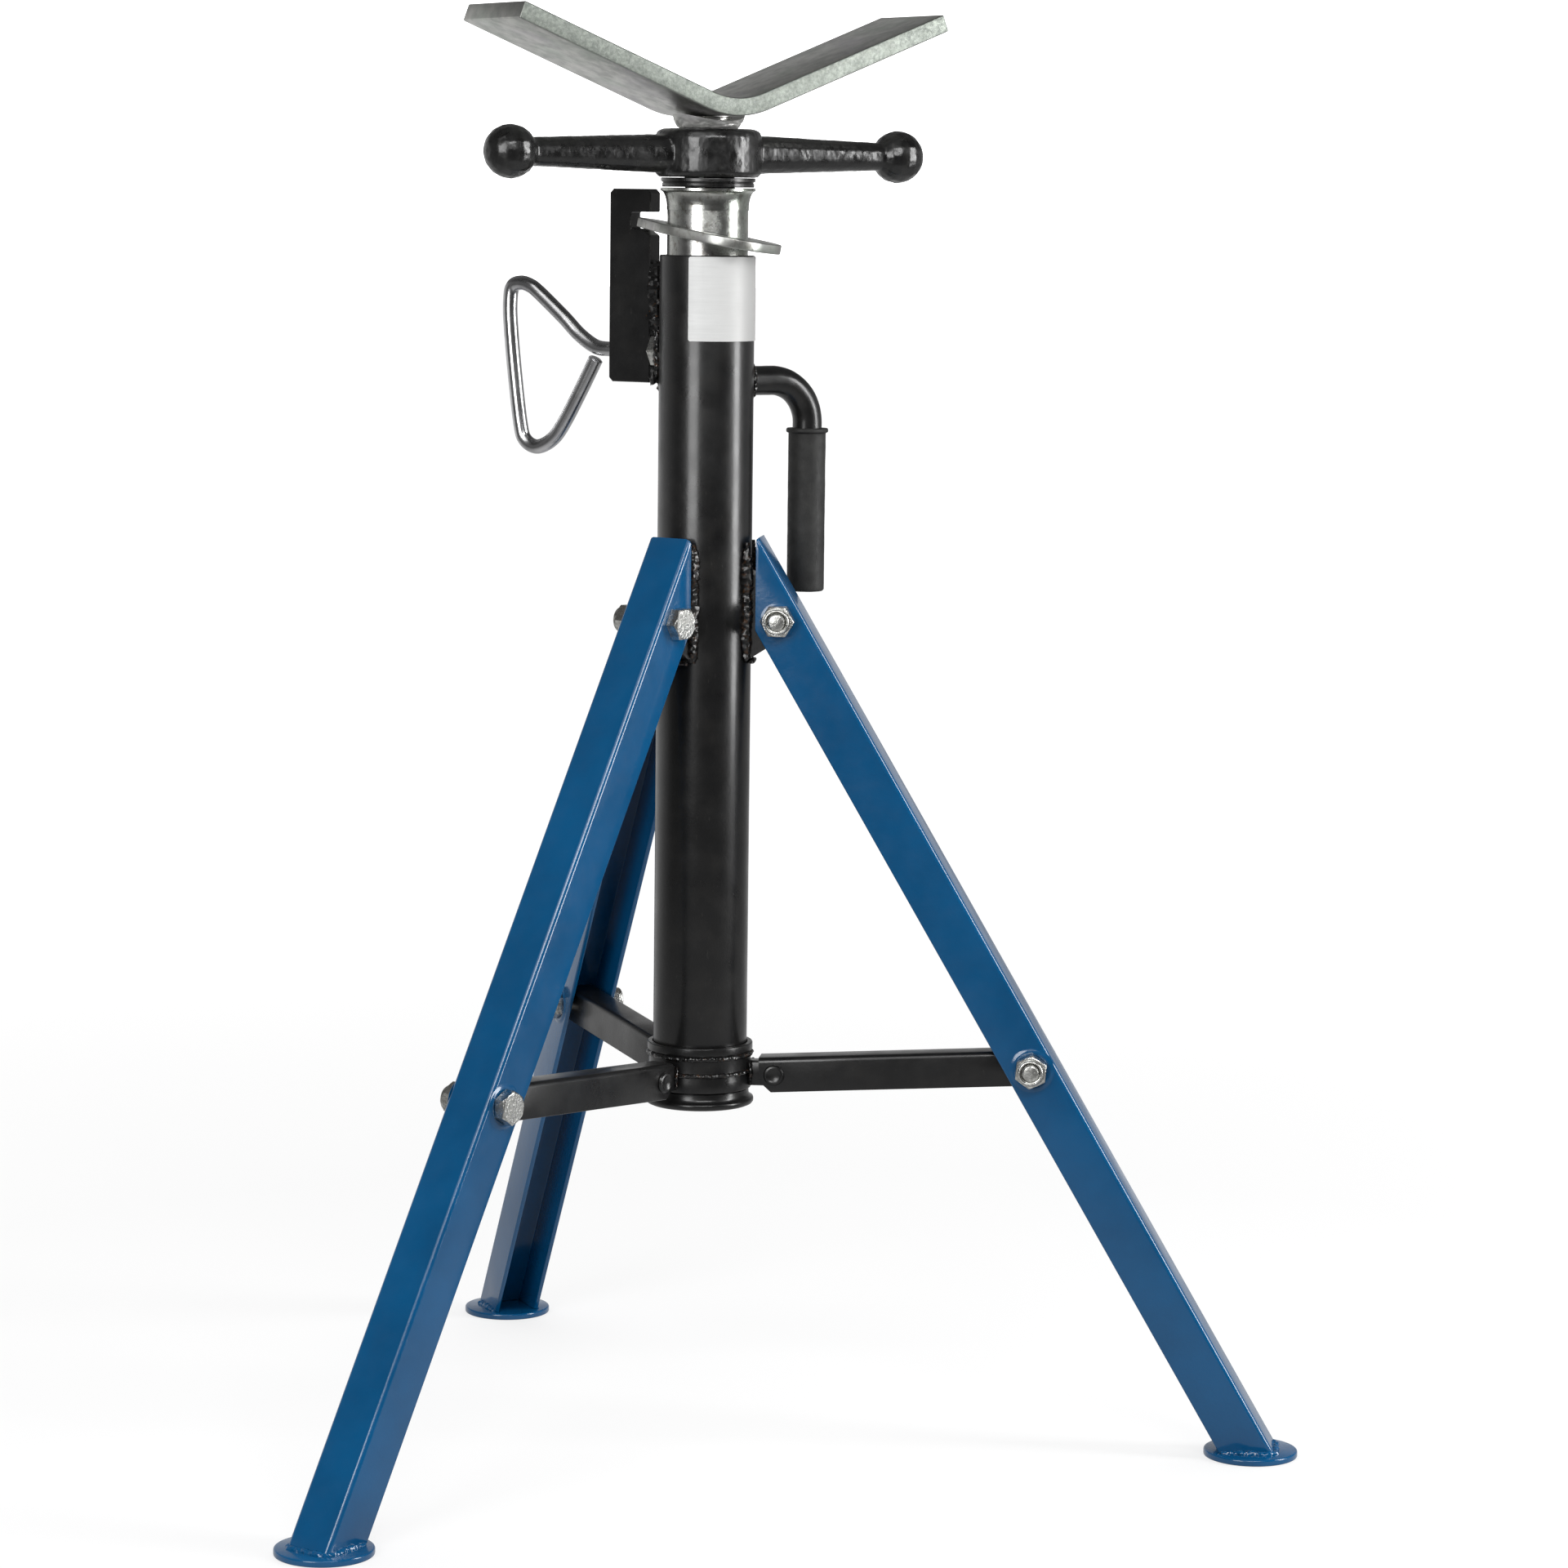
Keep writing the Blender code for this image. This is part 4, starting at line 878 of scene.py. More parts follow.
wire = {"radius": 0.004, "tip": 0.0222, "barInner": 0.03305, "barOuter": 0.0591, "reach": 0.0675,
        "drop": 0.054, "chamfer": 0.0006, "endShare": 0.8, "stepsBetween": 28, "sides": 40,
        "shares": ((0.03, 0.0), (0.17, 0.02), (0.326, 0.133), (0.484, 0.306), (0.723, 0.546), (0.803, 0.611),
                   (0.895, 0.64), (0.981, 0.6), (1.004, 0.441), (0.996, 0.194), (0.953, -0.3),
                   (0.896, -0.793), (0.847, -0.948), (0.732, -1.007), (0.593, -0.933), (0.483, -0.776),
                   (0.321, -0.441), (0.172, -0.107))}


def wireMesh():
    height = column["pinHeight"]
    path = [Vector((wire["tip"], 0, height)), Vector((wire["barInner"], 0, height))]
    bent = [Vector((wire["barOuter"] + out * wire["reach"], 0, height + up * wire["drop"]))
            for out, up in wire["shares"]]
    path += smoothPath(bent, wire["stepsBetween"])

    def radiusAt(share):  # both ends are chamfered
        return wire["radius"] * (wire["endShare"] if share in (0.0, 1.0) else 1.0)
    onward = (path[-1] - path[-2]).normalized() * wire["chamfer"]
    path = [path[0] - Vector((wire["chamfer"], 0, 0)), *path, path[-1] + onward]
    return sweptTube(path, radiusAt, wire["sides"])


show(wireMesh(), "lockPin", "brightWire", "wire_pin", ["lock_pin"], latchAzimuth, sharp=45)


# Carrying handle

handle = {"azimuth": 30, "radius": 0.0079, "start": 0.0250, "height": 0.5754, "reach": 0.0634, "bend": 0.023,
          "end": 0.4635, "bendSteps": 24, "spacing": 0.0015, "sides": 40, "lumps": (0.00008, 160, 7),
          "saddle": (0.0256, 0.55, 0.6), "weldRadius": 0.0088, "weldReach": 0.0260, "weldWidth": 0.0042,
          "weldSeed": 12, "weldSteps": 48}
flattening = {"inside": 0.016, "reach": 0.02, "share": 0.07}  # the bar widens a little where it is bent


def handleMesh():
    bend = handle["bend"]
    bendX, bendZ = handle["reach"] - bend, handle["height"] - bend
    path = [Vector((handle["start"], 0, handle["height"]))]
    for step in range(handle["bendSteps"] + 1):
        turn = math.pi / 2 * (1 - step / handle["bendSteps"])
        path.append(Vector((bendX + bend * math.cos(turn), 0, bendZ + bend * math.sin(turn))))
    path.append(Vector((handle["reach"], 0, handle["end"])))
    mesh = sweptTube(spacedPath(path, handle["spacing"]), lambda share: handle["radius"], handle["sides"])
    corner = Vector((bendX + flattening["inside"], 0, bendZ + flattening["inside"]))
    for vertex in mesh.vertices:
        near = max(0.0, 1 - (vertex.co - corner).length / flattening["reach"])
        vertex.co.y *= 1 + flattening["share"] * near
    return roughened(cutBy(mesh, rod(*handle["saddle"])), *handle["lumps"])


def handleWeldPath():  # round the bar, on the tube's surface
    path = []
    for spot in ringPath(handle["weldRadius"], 0, handle["weldSteps"]):
        reach = math.sqrt(handle["weldReach"] ** 2 - spot.x ** 2)
        path.append(Vector((reach, spot.x, handle["height"] + spot.y)))
    return path


show(handleMesh(), "handleBar", "blackEnamel", "frame_tube", ["carry_handle"], handle["azimuth"])
showBead(handleWeldPath(), "handleWeld", handle["weldWidth"], handle["weldSeed"], "blackWeld", "frame_tube",
         handle["azimuth"], closed=True)

grip = {"radius": 0.0101, "fit": 0.0003, "flange": 0.0114, "flangeHeight": 0.0025, "top": 0.5495,
        "length": 0.0885, "rounds": (0, 0.0016, 0.0006, 0.0009, 0.0009, 0), "roundSteps": 5,
        "endBand": 0.004, "topBand": 0.006, "floor": 0.002, "sideSteps": 40, "steps": 72,
        "lumps": (0.00009, 90, 15)}


def gripMesh():
    low, high, radius, flange = grip["top"] - grip["length"], grip["top"], grip["radius"], grip["flange"]
    bore, shoulder = handle["radius"] + grip["fit"], high - grip["flangeHeight"]
    outside = rounded(grip, ((0, low), (radius, low), (radius, shoulder), (flange, shoulder),
                             (flange, high), (bore, high)))
    start = low + grip["endBand"]
    lower = [point for point in outside if point[1] < start]
    upper = [point for point in outside if point[1] >= start]
    run = shoulder - low - grip["topBand"]
    sides = [(radius, start + run * step / grip["sideSteps"]) for step in range(grip["sideSteps"])]
    inside = [(bore, low + grip["floor"]), (0, low + grip["floor"])]
    mesh = revolved([*lower, *sides, *upper, *inside], grip["steps"])
    roughened(mesh, *grip["lumps"])
    mesh.transform(moved(handle["reach"]))
    return mesh


show(gripMesh(), "handleGrip", "gripRubber", "frame_tube", ["handle_grip"], handle["azimuth"], sharp=50)
print("latch, pin and handle done")


# Sliding collar

collar = {"bore": 0.026, "low": 0.1933, "high": 0.2182, "radius": 0.0286, "waist": 0.0277, "foot": 0.0003,
          "footHeight": 0.006, "footSlope": 0.0015, "bandHeight": 0.0052, "bandSlope": 0.0014,
          "rounds": (0, 0.0008, 0, 0, 0.001, 0.0007, 0.0007, 0), "roundSteps": 4, "steps": 120,
          "lumps": (0.00012, 160, 21)}
ear = {"root": 0.0268, "reach": 0.0416, "height": 0.2017, "thickness": 0.011, "nose": 0.0066,
       "rounds": (0, 0.0063, 0.0063, 0), "roundSteps": 10, "edge": 0.0008}


def earMesh():
    nose, height, root, half = ear["nose"], ear["height"], ear["root"], ear["thickness"] / 2
    tip, low, high = ear["reach"] + nose, height - nose, height + nose
    outline = rounded(ear, ((root, low), (tip, low), (tip, high), (root, high)))
    return softened(placed(extruded(outline, (-half, half)), turnedBy(90, 'X')), ear["edge"], segments=2)


def collarMesh():
    bore, low, high, waist, radius = (collar[key] for key in ("bore", "low", "high", "waist", "radius"))
    foot, footTop, band = waist + collar["foot"], low + collar["footHeight"], high - collar["bandHeight"]
    profile = rounded(collar, (
        (bore, low), (foot, low), (foot, footTop), (waist, footTop + collar["footSlope"]), (waist, band),
        (radius, band + collar["bandSlope"]), (radius, high), (bore, high)))
    ring = roughened(revolved(profile, collar["steps"]), *collar["lumps"])
    return joined(ring, *(placed(earMesh(), turnedBy(azimuth, 'Z')) for azimuth in legAzimuths.values()))


show(collarMesh(), "slidingCollar", "blackEnamel", "collar", ["sliding_collar"], sharp=45)

# The rings are height, width and seed, and the ears' beads run between two places on each side
collarWeld = {"radius": 0.0279, "rings": {"Upper": (0.2122, 0.0026, 31), "Lower": (0.2032, 0.0024, 32)},
              "earWidth": 0.0034, "earSeed": 33,
              "earRun": ((0.0283, 0.0057, 0.1962), (0.0283, 0.0060, 0.2082))}
for level, (height, width, seed) in collarWeld["rings"].items():
    run = ringPath(collarWeld["radius"], height)
    showBead(run, "collarWeld" + level, width, seed, "blackWeld", "collar", closed=True)
for side, azimuth in legAzimuths.items():
    for wayName, way in ways.items():
        run = [Vector((reach, way * across, height)) for reach, across, height in collarWeld["earRun"]]
        showBead(run, "earWeld" + side.capitalize() + wayName, collarWeld["earWidth"],
                 collarWeld["earSeed"] + way, "blackWeld", "collar", azimuth)


# Legs

leg = {"width": 0.0275, "depth": 0.026, "wall": 0.0026, "corner": 0.0027, "innerCorner": 0.0005,
       "lip": 0.0006, "roundSteps": 8, "edge": 0.0004, "lean": 30.3, "groundReach": 0.3187, "below": 0.04,
       "length": 0.62, "slices": 24, "trim": 0.0295, "topCut": 0.0029, "topRound": 0.0034,
       "topAngles": (15, 30, 45, 60, 75), "boltDepth": 0.0125, "floor": 0.0038,
       "pivotHeight": 0.449, "braceHeight": 0.210}
lean = math.radians(leg["lean"])
inward = Vector((-math.cos(lean), 0, -math.sin(lean)))
along = Vector((-math.sin(lean), 0, math.cos(lean)))


def boltReach(height):
    return leg["groundReach"] - height * math.tan(lean) - leg["boltDepth"] / math.cos(lean)


pivotReach, braceReach = boltReach(leg["pivotHeight"]), boltReach(leg["braceHeight"])


def legMesh():
    half, wall, corner, depth = leg["width"] / 2, leg["wall"], leg["corner"], leg["depth"]
    lip, inner = leg["lip"], leg["innerCorner"]
    section = roundedOutline((
        (depth, -half), (0, -half), (0, half), (depth, half), (depth, half - wall),
        (wall, half - wall), (wall, wall - half), (depth, wall - half),
    ), (lip, corner, corner, lip, lip, inner, inner, lip), leg["roundSteps"])
    slices, below = leg["slices"], leg["below"]
    levels = [-below + (leg["length"] + below) * step / slices for step in range(slices + 1)]
    mesh = extruded(section, levels)
    mesh.transform(axesTo(inward, (0, 1, 0), along, (leg["groundReach"], 0, 0)))
    trimmed(mesh, (0, 0, leg["floor"]), (0, 0, -1))
    trimmed(mesh, (leg["trim"], 0, 0), (-1, 0, 0))
    top, turn = (leg["groundReach"] - leg["trim"]) / math.tan(lean), leg["topRound"]
    trimmed(mesh, (leg["trim"], 0, top - leg["topCut"]), (-1, 0, 1))
    top -= leg["topCut"] / (1 + math.tan(lean))
    for way in (1, -1):
        for degrees in leg["topAngles"]:  # the sheet's upper corners are rounded
            across, up = way * math.sin(math.radians(degrees)), math.cos(math.radians(degrees))
            trimmed(mesh, (0, way * (half - turn) + turn * across, top - turn + turn * up), (0, across, up))
    return softened(tidied(mesh), leg["edge"], segments=2, angle=60)


foot = {"reach": 0.303, "radius": 0.02536, "thickness": 0.0035, "rounds": (0, 0.0007, 0.0009, 0),
        "roundSteps": 4, "beadBack": 0.001, "beadCorner": 0.003, "beadWidth": 0.0036,
        "beadSeed": 41, "beadRipple": 0.0019}


def footMesh():
    high, radius = foot["thickness"], foot["radius"]
    profile = rounded(foot, ((0, 0), (radius, 0), (radius, high), (0, high)))
    return placed(revolved(profile), moved(foot["reach"]))


def footBeadPath():  # round the leg's outside, where it meets the foot
    half, corner, back = leg["width"] / 2, foot["beadCorner"], leg["depth"] - foot["beadBack"]
    ground, points = Vector((leg["groundReach"], 0, 0)), []
    for depth, side in ((back, half), (corner, half), (0, half - corner),
                        (0, corner - half), (corner, -half), (back, -half)):
        run = (leg["floor"] + depth * math.sin(lean)) / math.cos(lean)
        points.append(ground + inward * depth + along * run + Vector((0, side, 0)))
    return points


# The sheet is pressed round the bolts
pressed = {"bore": 0.0050, "flatShare": 0.62, "rimShare": 0.38, "rimSteps": 8, "sink": 0.0004, "steps": 56,
           "brace": (0.0122, 0.0006), "pivot": (0.0098, 0.0003)}


def pressedRim(place, reach, height, way):
    radius, rise = pressed[place]
    profile = [(pressed["bore"], 0), (radius * pressed["flatShare"], 0)]
    for step in range(pressed["rimSteps"] + 1):
        share = step / pressed["rimSteps"]
        profile.append((radius * (pressed["flatShare"] + pressed["rimShare"] * share),
                        rise * math.sin(math.pi * share) ** 2))
    profile += [(radius, -pressed["sink"]), (pressed["bore"], -pressed["sink"])]
    mesh = revolved(profile, pressed["steps"])
    return placed(mesh, moved(reach, 0, height), turnedBy(-90 * way, 'X'), moved(0, 0, leg["width"] / 2))


# Bolts

bolt = {"radius": 0.0047, "across": 0.016, "head": 0.0064, "nut": 0.0074, "gap": 0.0003, "stub": 0.0004,
        "steps": 72, "roundSteps": 40, "turns": {"pivot": 2, "brace": 28}, "turnSpread": 3}
hexagon = {"coneSlope": 32, "crownShare": 0.95, "coneSteps": 8, "lip": 0.0002, "middle": 0.001}
headFace = {"radius": 0.0058, "topRadius": 0.0055, "depth": 0.001, "rise": 0.00012}
nutCollar = {"bore": 0.0056, "radius": 0.0068, "height": 0.0026, "sink": 0.002, "nutBore": 0.0049,
             "rounds": (0, 0, 0.0009, 0.0004), "roundSteps": 5, "linerBore": 0.0050, "linerRadius": 0.0060,
             "linerSink": 0.001, "linerDrops": (0.0012, 0.0016), "steps": 48}
threadEnd = {"run": 0.012, "rings": 9, "pitch": 0.0013, "depth": 0.0005, "crest": 0.0006, "tip": 0.0001,
             "tipDepths": (0.0009, 0.0012)}


def hexBody(low, high, bore=0.0):  # a hexagon whose corners are turned off in a cone at the top
    flat, corner, steps = bolt["across"] / 2, bolt["across"] / math.sqrt(3), bolt["steps"]
    crown = flat * hexagon["crownShare"]
    drop = (corner - crown) * math.tan(math.radians(hexagon["coneSlope"]))
    rows = [(low, corner), (low + hexagon["lip"], corner)]
    for step in range(hexagon["coneSteps"] + 1):
        share = step / hexagon["coneSteps"]
        rows.append((high - drop * (1 - share), corner + (crown - corner) * share))
    points = []
    for height, cone in rows:
        for turn in turnsOf(steps):
            reach = flat / math.cos((turn % (math.pi / 3)) - math.pi / 6)
            reach = min(reach, cone) - (hexagon["lip"] if height == low else 0.0)
            points.append(around(reach, turn, height))
    for height in (high, low) if bore else (high,):  # the bore, or a small flat in the middle
        points += [around(bore or hexagon["middle"], turn, height) for turn in turnsOf(steps)]
    if bore:
        return meshFrom(points, bridged(len(rows) + 2, steps, closed=True))
    ends = [ringFace(len(rows), steps), ringFace(0, steps)]
    return meshFrom(points, bridged(len(rows) + 1, steps) + ends)


def headMesh(low):
    top = low + bolt["head"]
    sunk, raised = top - headFace["depth"], top + headFace["rise"]
    face = ((0, sunk), (headFace["radius"], sunk), (headFace["topRadius"], raised), (0, raised))
    return joined(hexBody(low, top), revolved(face, bolt["roundSteps"]))


def nutMesh(low):
    shoulder = low + bolt["nut"]
    end = shoulder + nutCollar["height"]
    bore, radius, sink = nutCollar["bore"], nutCollar["radius"], shoulder - nutCollar["sink"]
    rolled = rounded(nutCollar, ((bore, sink), (radius, sink), (radius, end), (bore, end)))
    bore, radius, sink = nutCollar["linerBore"], nutCollar["linerRadius"], shoulder - nutCollar["linerSink"]
    outerDrop, innerDrop = nutCollar["linerDrops"]
    liner = [(bore, sink), (radius, sink), (radius, end - outerDrop), (bore, end - innerDrop)]
    return joined(hexBody(low, shoulder, nutCollar["nutBore"]), revolved(rolled, nutCollar["steps"]),
                  revolved(liner, nutCollar["steps"]))


def boltEndMesh(low):
    end = low + bolt["nut"] + nutCollar["height"] + bolt["stub"]
    radius, start = bolt["radius"], end - threadEnd["run"]
    rows = [(0, start)]
    for step in range(threadEnd["rings"]):  # rings that read as thread
        height = start + step * threadEnd["pitch"]
        rows += [(radius - threadEnd["depth"], height), (radius, height + threadEnd["crest"])]
    shoulderDepth, tipDepth = threadEnd["tipDepths"]
    rows += [(radius - shoulderDepth, end - threadEnd["tip"]), (radius - tipDepth, end), (0, end)]
    return revolved(rows, bolt["roundSteps"])


def shankMesh(low, high):
    return rod(bolt["radius"], low, high, bolt["roundSteps"])


def acrossLeg(mesh, reach, height, way):  # from upright to the station's Y axis
    return placed(mesh, moved(reach, 0, height), turnedBy(-90 * way, 'X'))


seatHeight = leg["width"] / 2 + bolt["gap"]
headShape, nutShape, boltEndShape = headMesh(seatHeight), nutMesh(seatHeight), boltEndMesh(seatHeight)
legShape = legMesh()
innerHalf = leg["width"] / 2 - leg["wall"]
print("bolts and leg shapes done")


# Braces

brace = {"width": 0.017, "height": 0.019, "wall": 0.0024, "overhang": 0.008, "chamfer": 0.006,
         "corner": 0.0028, "innerCorner": 0.0008, "lip": 0.0005, "roundSteps": 6, "edge": 0.0004,
         "endShare": 0.97, "sliceShares": (0.33, 0.66), "noseShare": 0.42, "cheekShares": (0.25, 0.75)}
rivet = {"radius": 0.0056, "height": 0.0016, "face": 0.0002, "bore": 0.0036, "steps": 48, "brim": 0.0003,
         "dishShares": (0, 0.55, 0.72, 0.88), "dishDepths": (0.0007, 0.0006, 0, 0.0002)}
earPlace = Vector((ear["reach"], 0, ear["height"]))
span = math.hypot(braceReach - earPlace.x, leg["braceHeight"] - earPlace.z)
rise = math.degrees(math.atan2(leg["braceHeight"] - earPlace.z, braceReach - earPlace.x))


def braceMesh():
    half, wall, tall, corner = brace["width"] / 2, brace["wall"], brace["height"] / 2, brace["corner"]
    lip, inner, nose = brace["lip"], brace["innerCorner"], brace["noseShare"]
    section = roundedOutline((
        (-half, -tall), (-half, tall), (half, tall), (half, -tall), (half - wall, -tall),
        (half - wall, tall - wall), (wall - half, tall - wall), (wall - half, -tall),
    ), (lip, corner, corner, lip, lip, inner, inner, lip), brace["roundSteps"])
    end = span + tall * brace["endShare"]
    mesh = extruded(section, (-brace["overhang"], *(span * share for share in brace["sliceShares"]), end))
    mesh.transform(axesTo((0, 1, 0), (0, 0, 1), (1, 0, 0)))
    trimmed(mesh, (-brace["overhang"], 0, brace["chamfer"] - tall), (-1, 0, -1))
    backShare, upShare = brace["cheekShares"]
    for way in (1, -1):
        trimmed(mesh, (end, 0, way * tall * nose), (1, 0, way))
        trimmed(mesh, (end - tall * backShare, 0, way * tall * upShare), (nose, 0, way))
    mesh = softened(tidied(mesh), brace["edge"], segments=2, angle=55)
    return placed(mesh, Matrix.Translation(earPlace), turnedBy(-rise, 'Y'))


def rivetMesh():  # a flush head with a ring pressed round it, painted over
    half, radius = brace["width"] / 2, rivet["radius"]
    face, top = half + rivet["face"], half + rivet["height"]
    upper = [(radius * share, top - depth) for share, depth in zip(rivet["dishShares"], rivet["dishDepths"])]
    upper += [(radius, face + rivet["brim"]), (radius, face), (rivet["bore"], face)]
    lower = [(reach, -height) for reach, height in reversed(upper)]
    return revolved(upper + lower, rivet["steps"])


braceShape, rivetShape = braceMesh(), rivetMesh()


# The three leg assemblies, and the welds of the lugs that carry them

lugWeld = {"reach": 0.0245, "side": 0.0112, "heights": (0.4265, 0.458, 0.4900), "width": 0.0058,
           "ripple": 0.0034, "seed": 51, "underReach": 0.0268, "underHeight": 0.4262,
           "underRun": (-0.009, 0.0, 0.009), "underWidth": 0.0036, "underSeed": 61, "underRipple": 0.0019}
for side, azimuth in legAzimuths.items():
    legBody, braceBody, tag = "leg_arm_" + side, "brace_arm_" + side, side.capitalize()
    show(legShape.copy(), "leg" + tag, "blueEnamel", legBody, ["leg_" + side], azimuth)
    show(footMesh(), "foot" + tag, "blueEnamel", legBody, ["foot_" + side], azimuth)
    showBead(footBeadPath(), "footWeld" + tag, foot["beadWidth"], foot["beadSeed"] + azimuth, "blueEnamel",
             legBody, azimuth, foot["beadRipple"])
    for way, end in ((1, "Head"), (-1, "Nut")):
        dimple = pressedRim("brace", braceReach, leg["braceHeight"], way)
        show(dimple, "braceDimple" + end + tag, "blueEnamel", legBody, azimuth=azimuth)
        rim = pressedRim("pivot", pivotReach, leg["pivotHeight"], way)
        show(rim, "pivotRim" + end + tag, "blueEnamel", legBody, azimuth=azimuth)
    for place, reach in (("pivot", pivotReach), ("brace", braceReach)):
        height = leg[place + "Height"]
        shankLow = innerHalf if place == "pivot" else -innerHalf
        turned = turnedBy(bolt["turns"][place] + bolt["turnSpread"] * math.sin(azimuth), 'Z')
        head = placed(joined(headShape, shankMesh(shankLow, seatHeight)), turned)
        nut = placed(nutShape.copy(), turned)
        endNodes = ["pivot_thread_" + side] if place == "pivot" else []
        for mesh, way, name, nodes in ((head, 1, "Head", [place + "_bolt_" + side]),
                                       (nut, -1, "LockNut", [place + "_nut_" + side]),
                                       (boltEndShape.copy(), -1, "End", endNodes)):
            mesh = acrossLeg(mesh, reach, height, way)
            show(mesh, place + name + tag, "boltZinc", legBody, nodes, azimuth, sharp=30)
    dressNode("pivot_shank_" + side, "boltZinc")
    dressNode("leg_lug_" + side, "blackEnamel")
    show(braceShape.copy(), "strut" + tag, "blackEnamel", braceBody, ["brace_" + side], azimuth)
    rivetHead = placed(rivetShape.copy(), Matrix.Translation(earPlace), turnedBy(90, 'X'))
    show(rivetHead, "rivet" + tag, "blackEnamel", braceBody, ["brace_rivet_" + side], azimuth)
    for wayName, way in ways.items():
        run = upright(lugWeld["reach"], way * lugWeld["side"], lugWeld["heights"])
        showBead(run, "lugWeld" + tag + wayName, lugWeld["width"], lugWeld["seed"] + azimuth + way,
                 "rustyWeld", "frame_tube", azimuth, lugWeld["ripple"])
    run = [Vector((lugWeld["underReach"], across, lugWeld["underHeight"])) for across in lugWeld["underRun"]]
    showBead(run, "lugWeldUnder" + tag, lugWeld["underWidth"], lugWeld["underSeed"] + azimuth, "rustyWeld",
             "frame_tube", azimuth, lugWeld["underRipple"])
print("collar, legs and braces done")


# Stage, light and camera. The room has one brightness for the camera, which sees plain white, one
# for mirrored rays and a soft one for the rest. Ranges are in metres on the floor, and in parts
# of a unit direction for the room.

studio = {
    "floorHalf": 30, "floorGrey": 0.25, "nearGlow": 0.70, "farGlow": 0.855, "glowRange": (0.7, 2.2),
    "floorMirrorFront": 0.09, "floorMirrorBack": 0.72, "floorDepthRange": (-0.4, 1.2),
    "floorSideRange": (0.3, 1.3), "floorMirrorNear": 0.52, "floorNearRange": (0.4, 1.7),
    "softLight": 0.30, "softBack": 2.1, "softRange": (0.0, 0.9),
    "frontMirror": 0.08, "backMirror": 0.80, "depthRange": (-0.35, 0.85),
    "rightShare": 0.42, "sideRange": (-0.3, 0.5), "overheadShare": 0.20, "overheadRange": (0.10, 0.42),
    "panelWay": (-0.30, -0.74, 0.60), "panelGlow": 1.5, "panelRange": (0.93, 0.975),
    "rightBox": {"place": (1.83, -0.34, 0.82), "aim": (0, 0, 0.55), "size": (0.52, 1.4), "power": 30},
    "leftBox": {"place": (-1.14, -1.91, 0.95), "aim": (0, 0, 0.55), "size": (0.92, 1.15), "power": 25},
    "topBox": {"place": (0.42, -1.90, 1.75), "aim": (0, 0, 0.45), "size": (1.35, 0.5), "power": 21},
}


def raysIn(tree):  # which rays see the scene itself, and which see it mirrored
    rays = addNode(tree, "LightPath").outputs
    return maths(tree, 'MAXIMUM', rays["Is Camera Ray"], rays["Is Transmission Ray"]), rays["Is Glossy Ray"]


def buildFloor():
    half = studio["floorHalf"]
    corners = ((-half, -half, 0), (half, -half, 0), (half, half, 0), (-half, half, 0))
    mesh = meshFrom(corners, [range(len(corners))])
    floor = linked("floor", mesh)
    look = bpy.data.materials.new("floorWhite")
    look.use_nodes = True
    tree = look.node_tree
    tree.nodes.clear()
    seen, glossy = raysIn(tree)
    place = addNode(tree, "TexCoord").outputs["Object"]
    split = addNode(tree, "SeparateXYZ", {"Vector": place}).outputs
    length = addNode(tree, "VectorMath", {0: place}, operation='LENGTH').outputs["Value"]
    far = between(tree, split["Y"], *studio["floorDepthRange"], studio["floorMirrorFront"],
                  studio["floorMirrorBack"])
    far = times(tree, far, between(tree, split["X"], *studio["floorSideRange"], 1.0, studio["rightShare"]))
    near = between(tree, length, *studio["floorNearRange"], studio["floorMirrorNear"], 0.0)
    mirrored = times(tree, glossy, maths(tree, 'MAXIMUM', far, near))
    glow = between(tree, length, *studio["glowRange"], studio["nearGlow"], studio["farGlow"])
    strength = maths(tree, 'MAXIMUM', times(tree, seen, glow), mirrored)
    grey = between(tree, glossy, 0.0, 1.0, studio["floorGrey"], 0.0)
    diffuse = addNode(tree, "BsdfDiffuse", {"Color": grey})
    emission = addNode(tree, "Emission", {"Color": (1, 1, 1, 1), "Strength": strength})
    both = addNode(tree, "AddShader", {0: diffuse.outputs[0], 1: emission.outputs[0]})
    addNode(tree, "OutputMaterial", {"Surface": both.outputs[0]})
    mesh.materials.append(look)


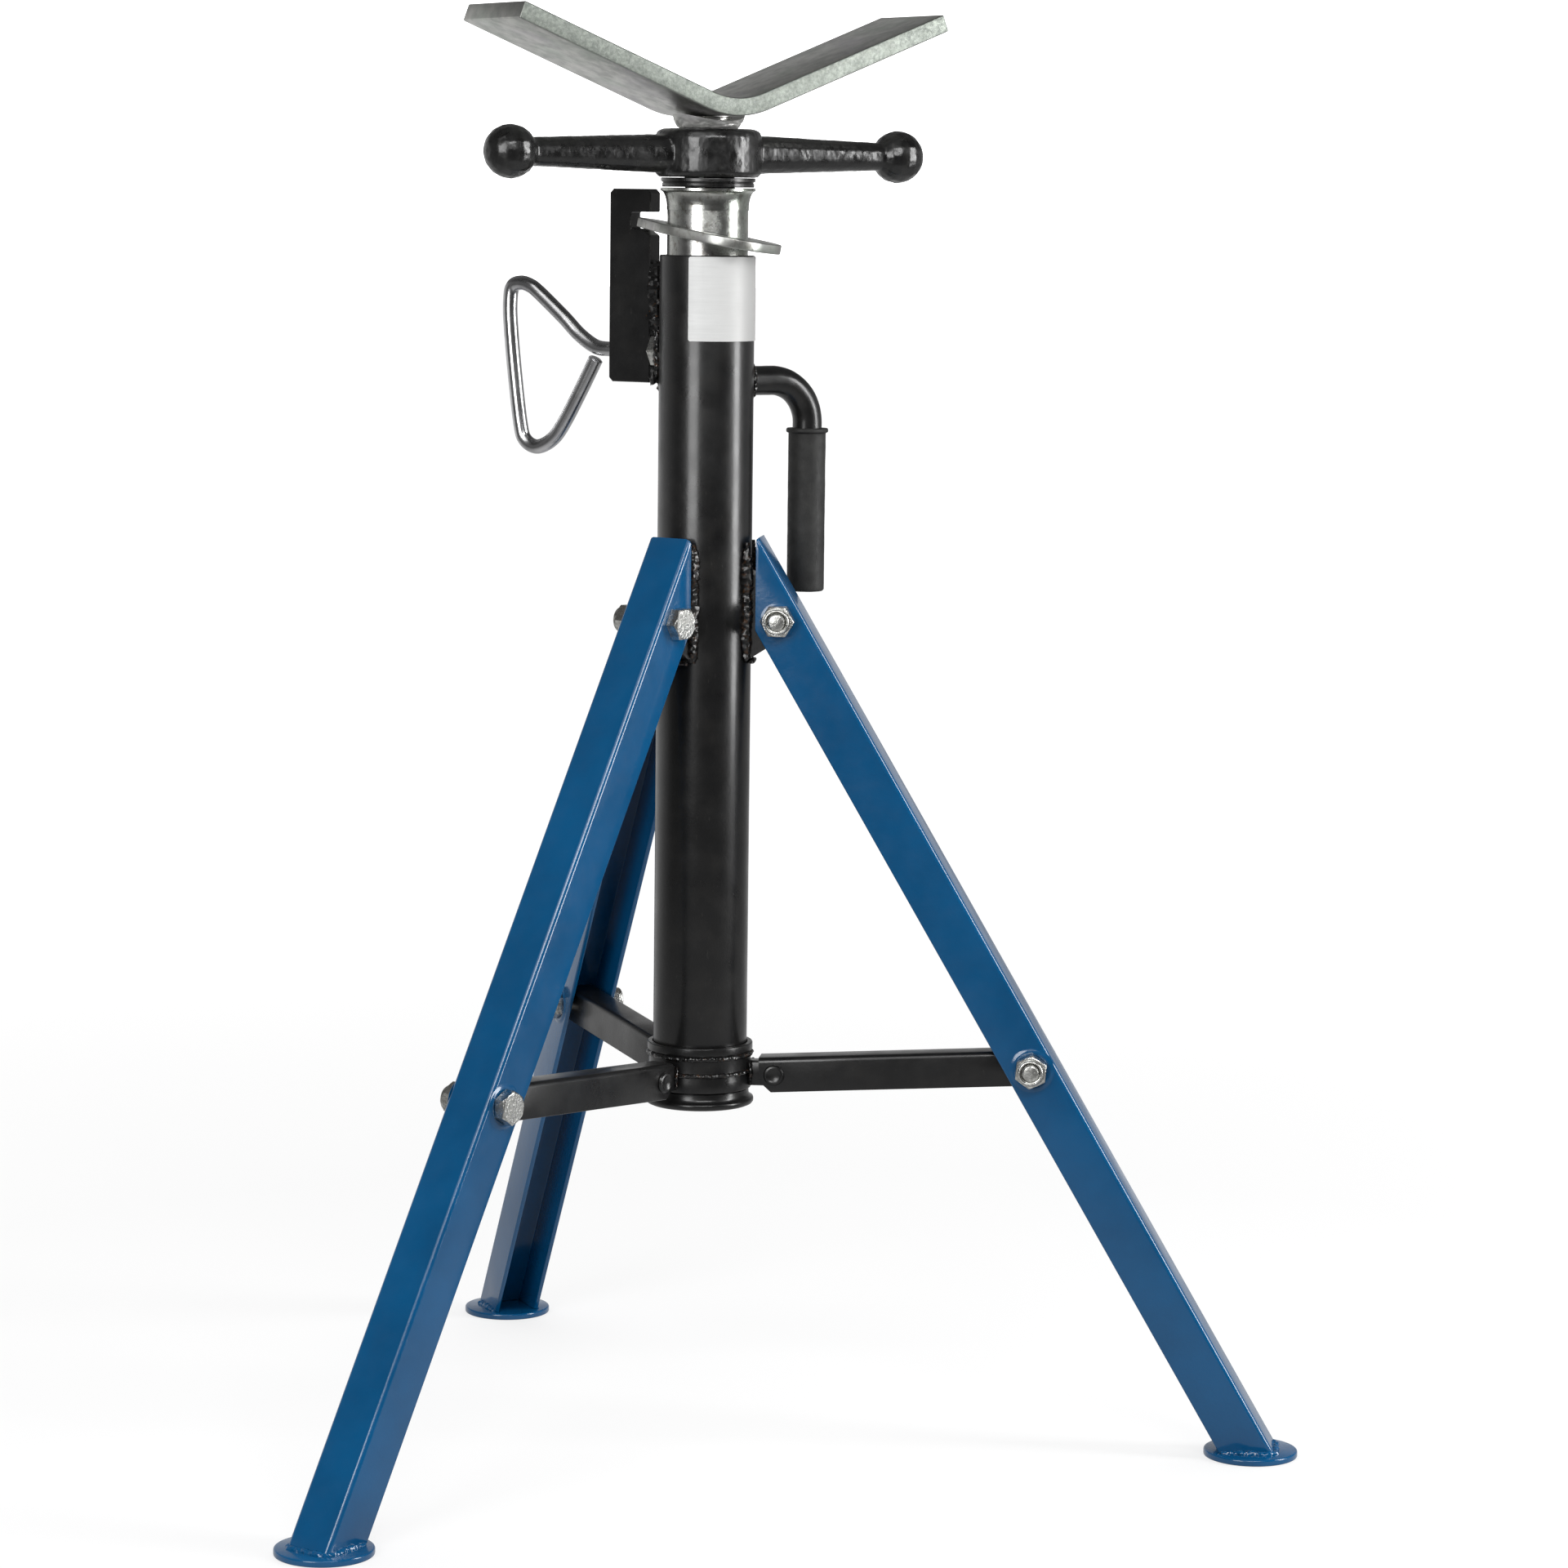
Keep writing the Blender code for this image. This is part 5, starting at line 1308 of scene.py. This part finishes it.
def buildWorld():
    world = bpy.data.worlds.new("studio")
    world.use_nodes = True
    bpy.context.scene.world = world
    tree = world.node_tree
    tree.nodes.clear()
    seen, glossy = raysIn(tree)
    way = addNode(tree, "TexCoord").outputs["Generated"]
    split = addNode(tree, "SeparateXYZ", {"Vector": way}).outputs
    low = between(tree, split["Z"], *studio["overheadRange"], 1.0, studio["overheadShare"])
    depth = between(tree, split["Y"], *studio["depthRange"], studio["frontMirror"], studio["backMirror"])
    side = between(tree, split["X"], *studio["sideRange"], 1.0, studio["rightShare"])
    light = times(tree, times(tree, low, depth), side)
    # A soft panel high on the left, seen only in mirrored rays
    near = addNode(tree, "VectorMath", {0: way, 1: studio["panelWay"]}, operation='DOT_PRODUCT')
    panel = between(tree, near.outputs["Value"], *studio["panelRange"], 0.0, studio["panelGlow"])
    light = maths(tree, 'MAXIMUM', light, panel)
    fill = between(tree, split["Y"], *studio["softRange"], studio["softLight"], studio["softBack"])
    soft = times(tree, fill, between(tree, glossy, 0.0, 1.0, 1.0, 0.0))
    inRoom = maths(tree, 'ADD', soft, times(tree, light, glossy))
    strength = maths(tree, 'MAXIMUM', inRoom, seen)
    sky = addNode(tree, "Background", {"Color": (1, 1, 1, 1), "Strength": strength})
    addNode(tree, "OutputWorld", {"Surface": sky.outputs[0]})


def addLight(name):
    plan = studio[name]
    light = bpy.data.lights.new(name, 'AREA')
    light.shape = 'RECTANGLE'
    light.size, light.size_y = plan["size"]
    light.energy = plan["power"]
    lamp = linked(name, light)
    lamp.location = Vector(plan["place"]) + columnPlace
    lamp.rotation_mode = 'QUATERNION'
    lamp.rotation_quaternion = (Vector(plan["aim"]) - Vector(plan["place"])).to_track_quat('-Z', 'Y')


shot = {"place": (0.0, -2.5504, 0.6784), "pitch": 7.14, "yaw": 0.99, "roll": 0.67, "lens": 109.27,
        "sensor": 36.0, "nearest": 0.05, "farthest": 100}


def buildCamera():
    pitch, yaw, roll = (math.radians(shot[key]) for key in ("pitch", "yaw", "roll"))
    ahead = Vector((math.sin(yaw) * math.cos(pitch), math.cos(yaw) * math.cos(pitch), -math.sin(pitch)))
    level = Vector((math.cos(yaw), -math.sin(yaw), 0))
    above = level.cross(ahead)
    across = level * math.cos(roll) + above * math.sin(roll)
    upward = above * math.cos(roll) - level * math.sin(roll)
    data = bpy.data.cameras.new("photoCamera")
    data.sensor_fit = 'HORIZONTAL'
    data.sensor_width = shot["sensor"]
    data.lens = shot["lens"]
    data.clip_start, data.clip_end = shot["nearest"], shot["farthest"]
    camera = linked("photoCamera", data)
    camera.matrix_world = axesTo(across, upward, -ahead, Vector(shot["place"]) + columnPlace)
    bpy.context.scene.camera = camera


buildFloor()
buildWorld()
for lampName in ("rightBox", "leftBox", "topBox"):
    addLight(lampName)
buildCamera()
bpy.context.scene.view_settings.view_transform = 'Standard'
print("stage, light and camera done")

bpy.context.view_layer.update()
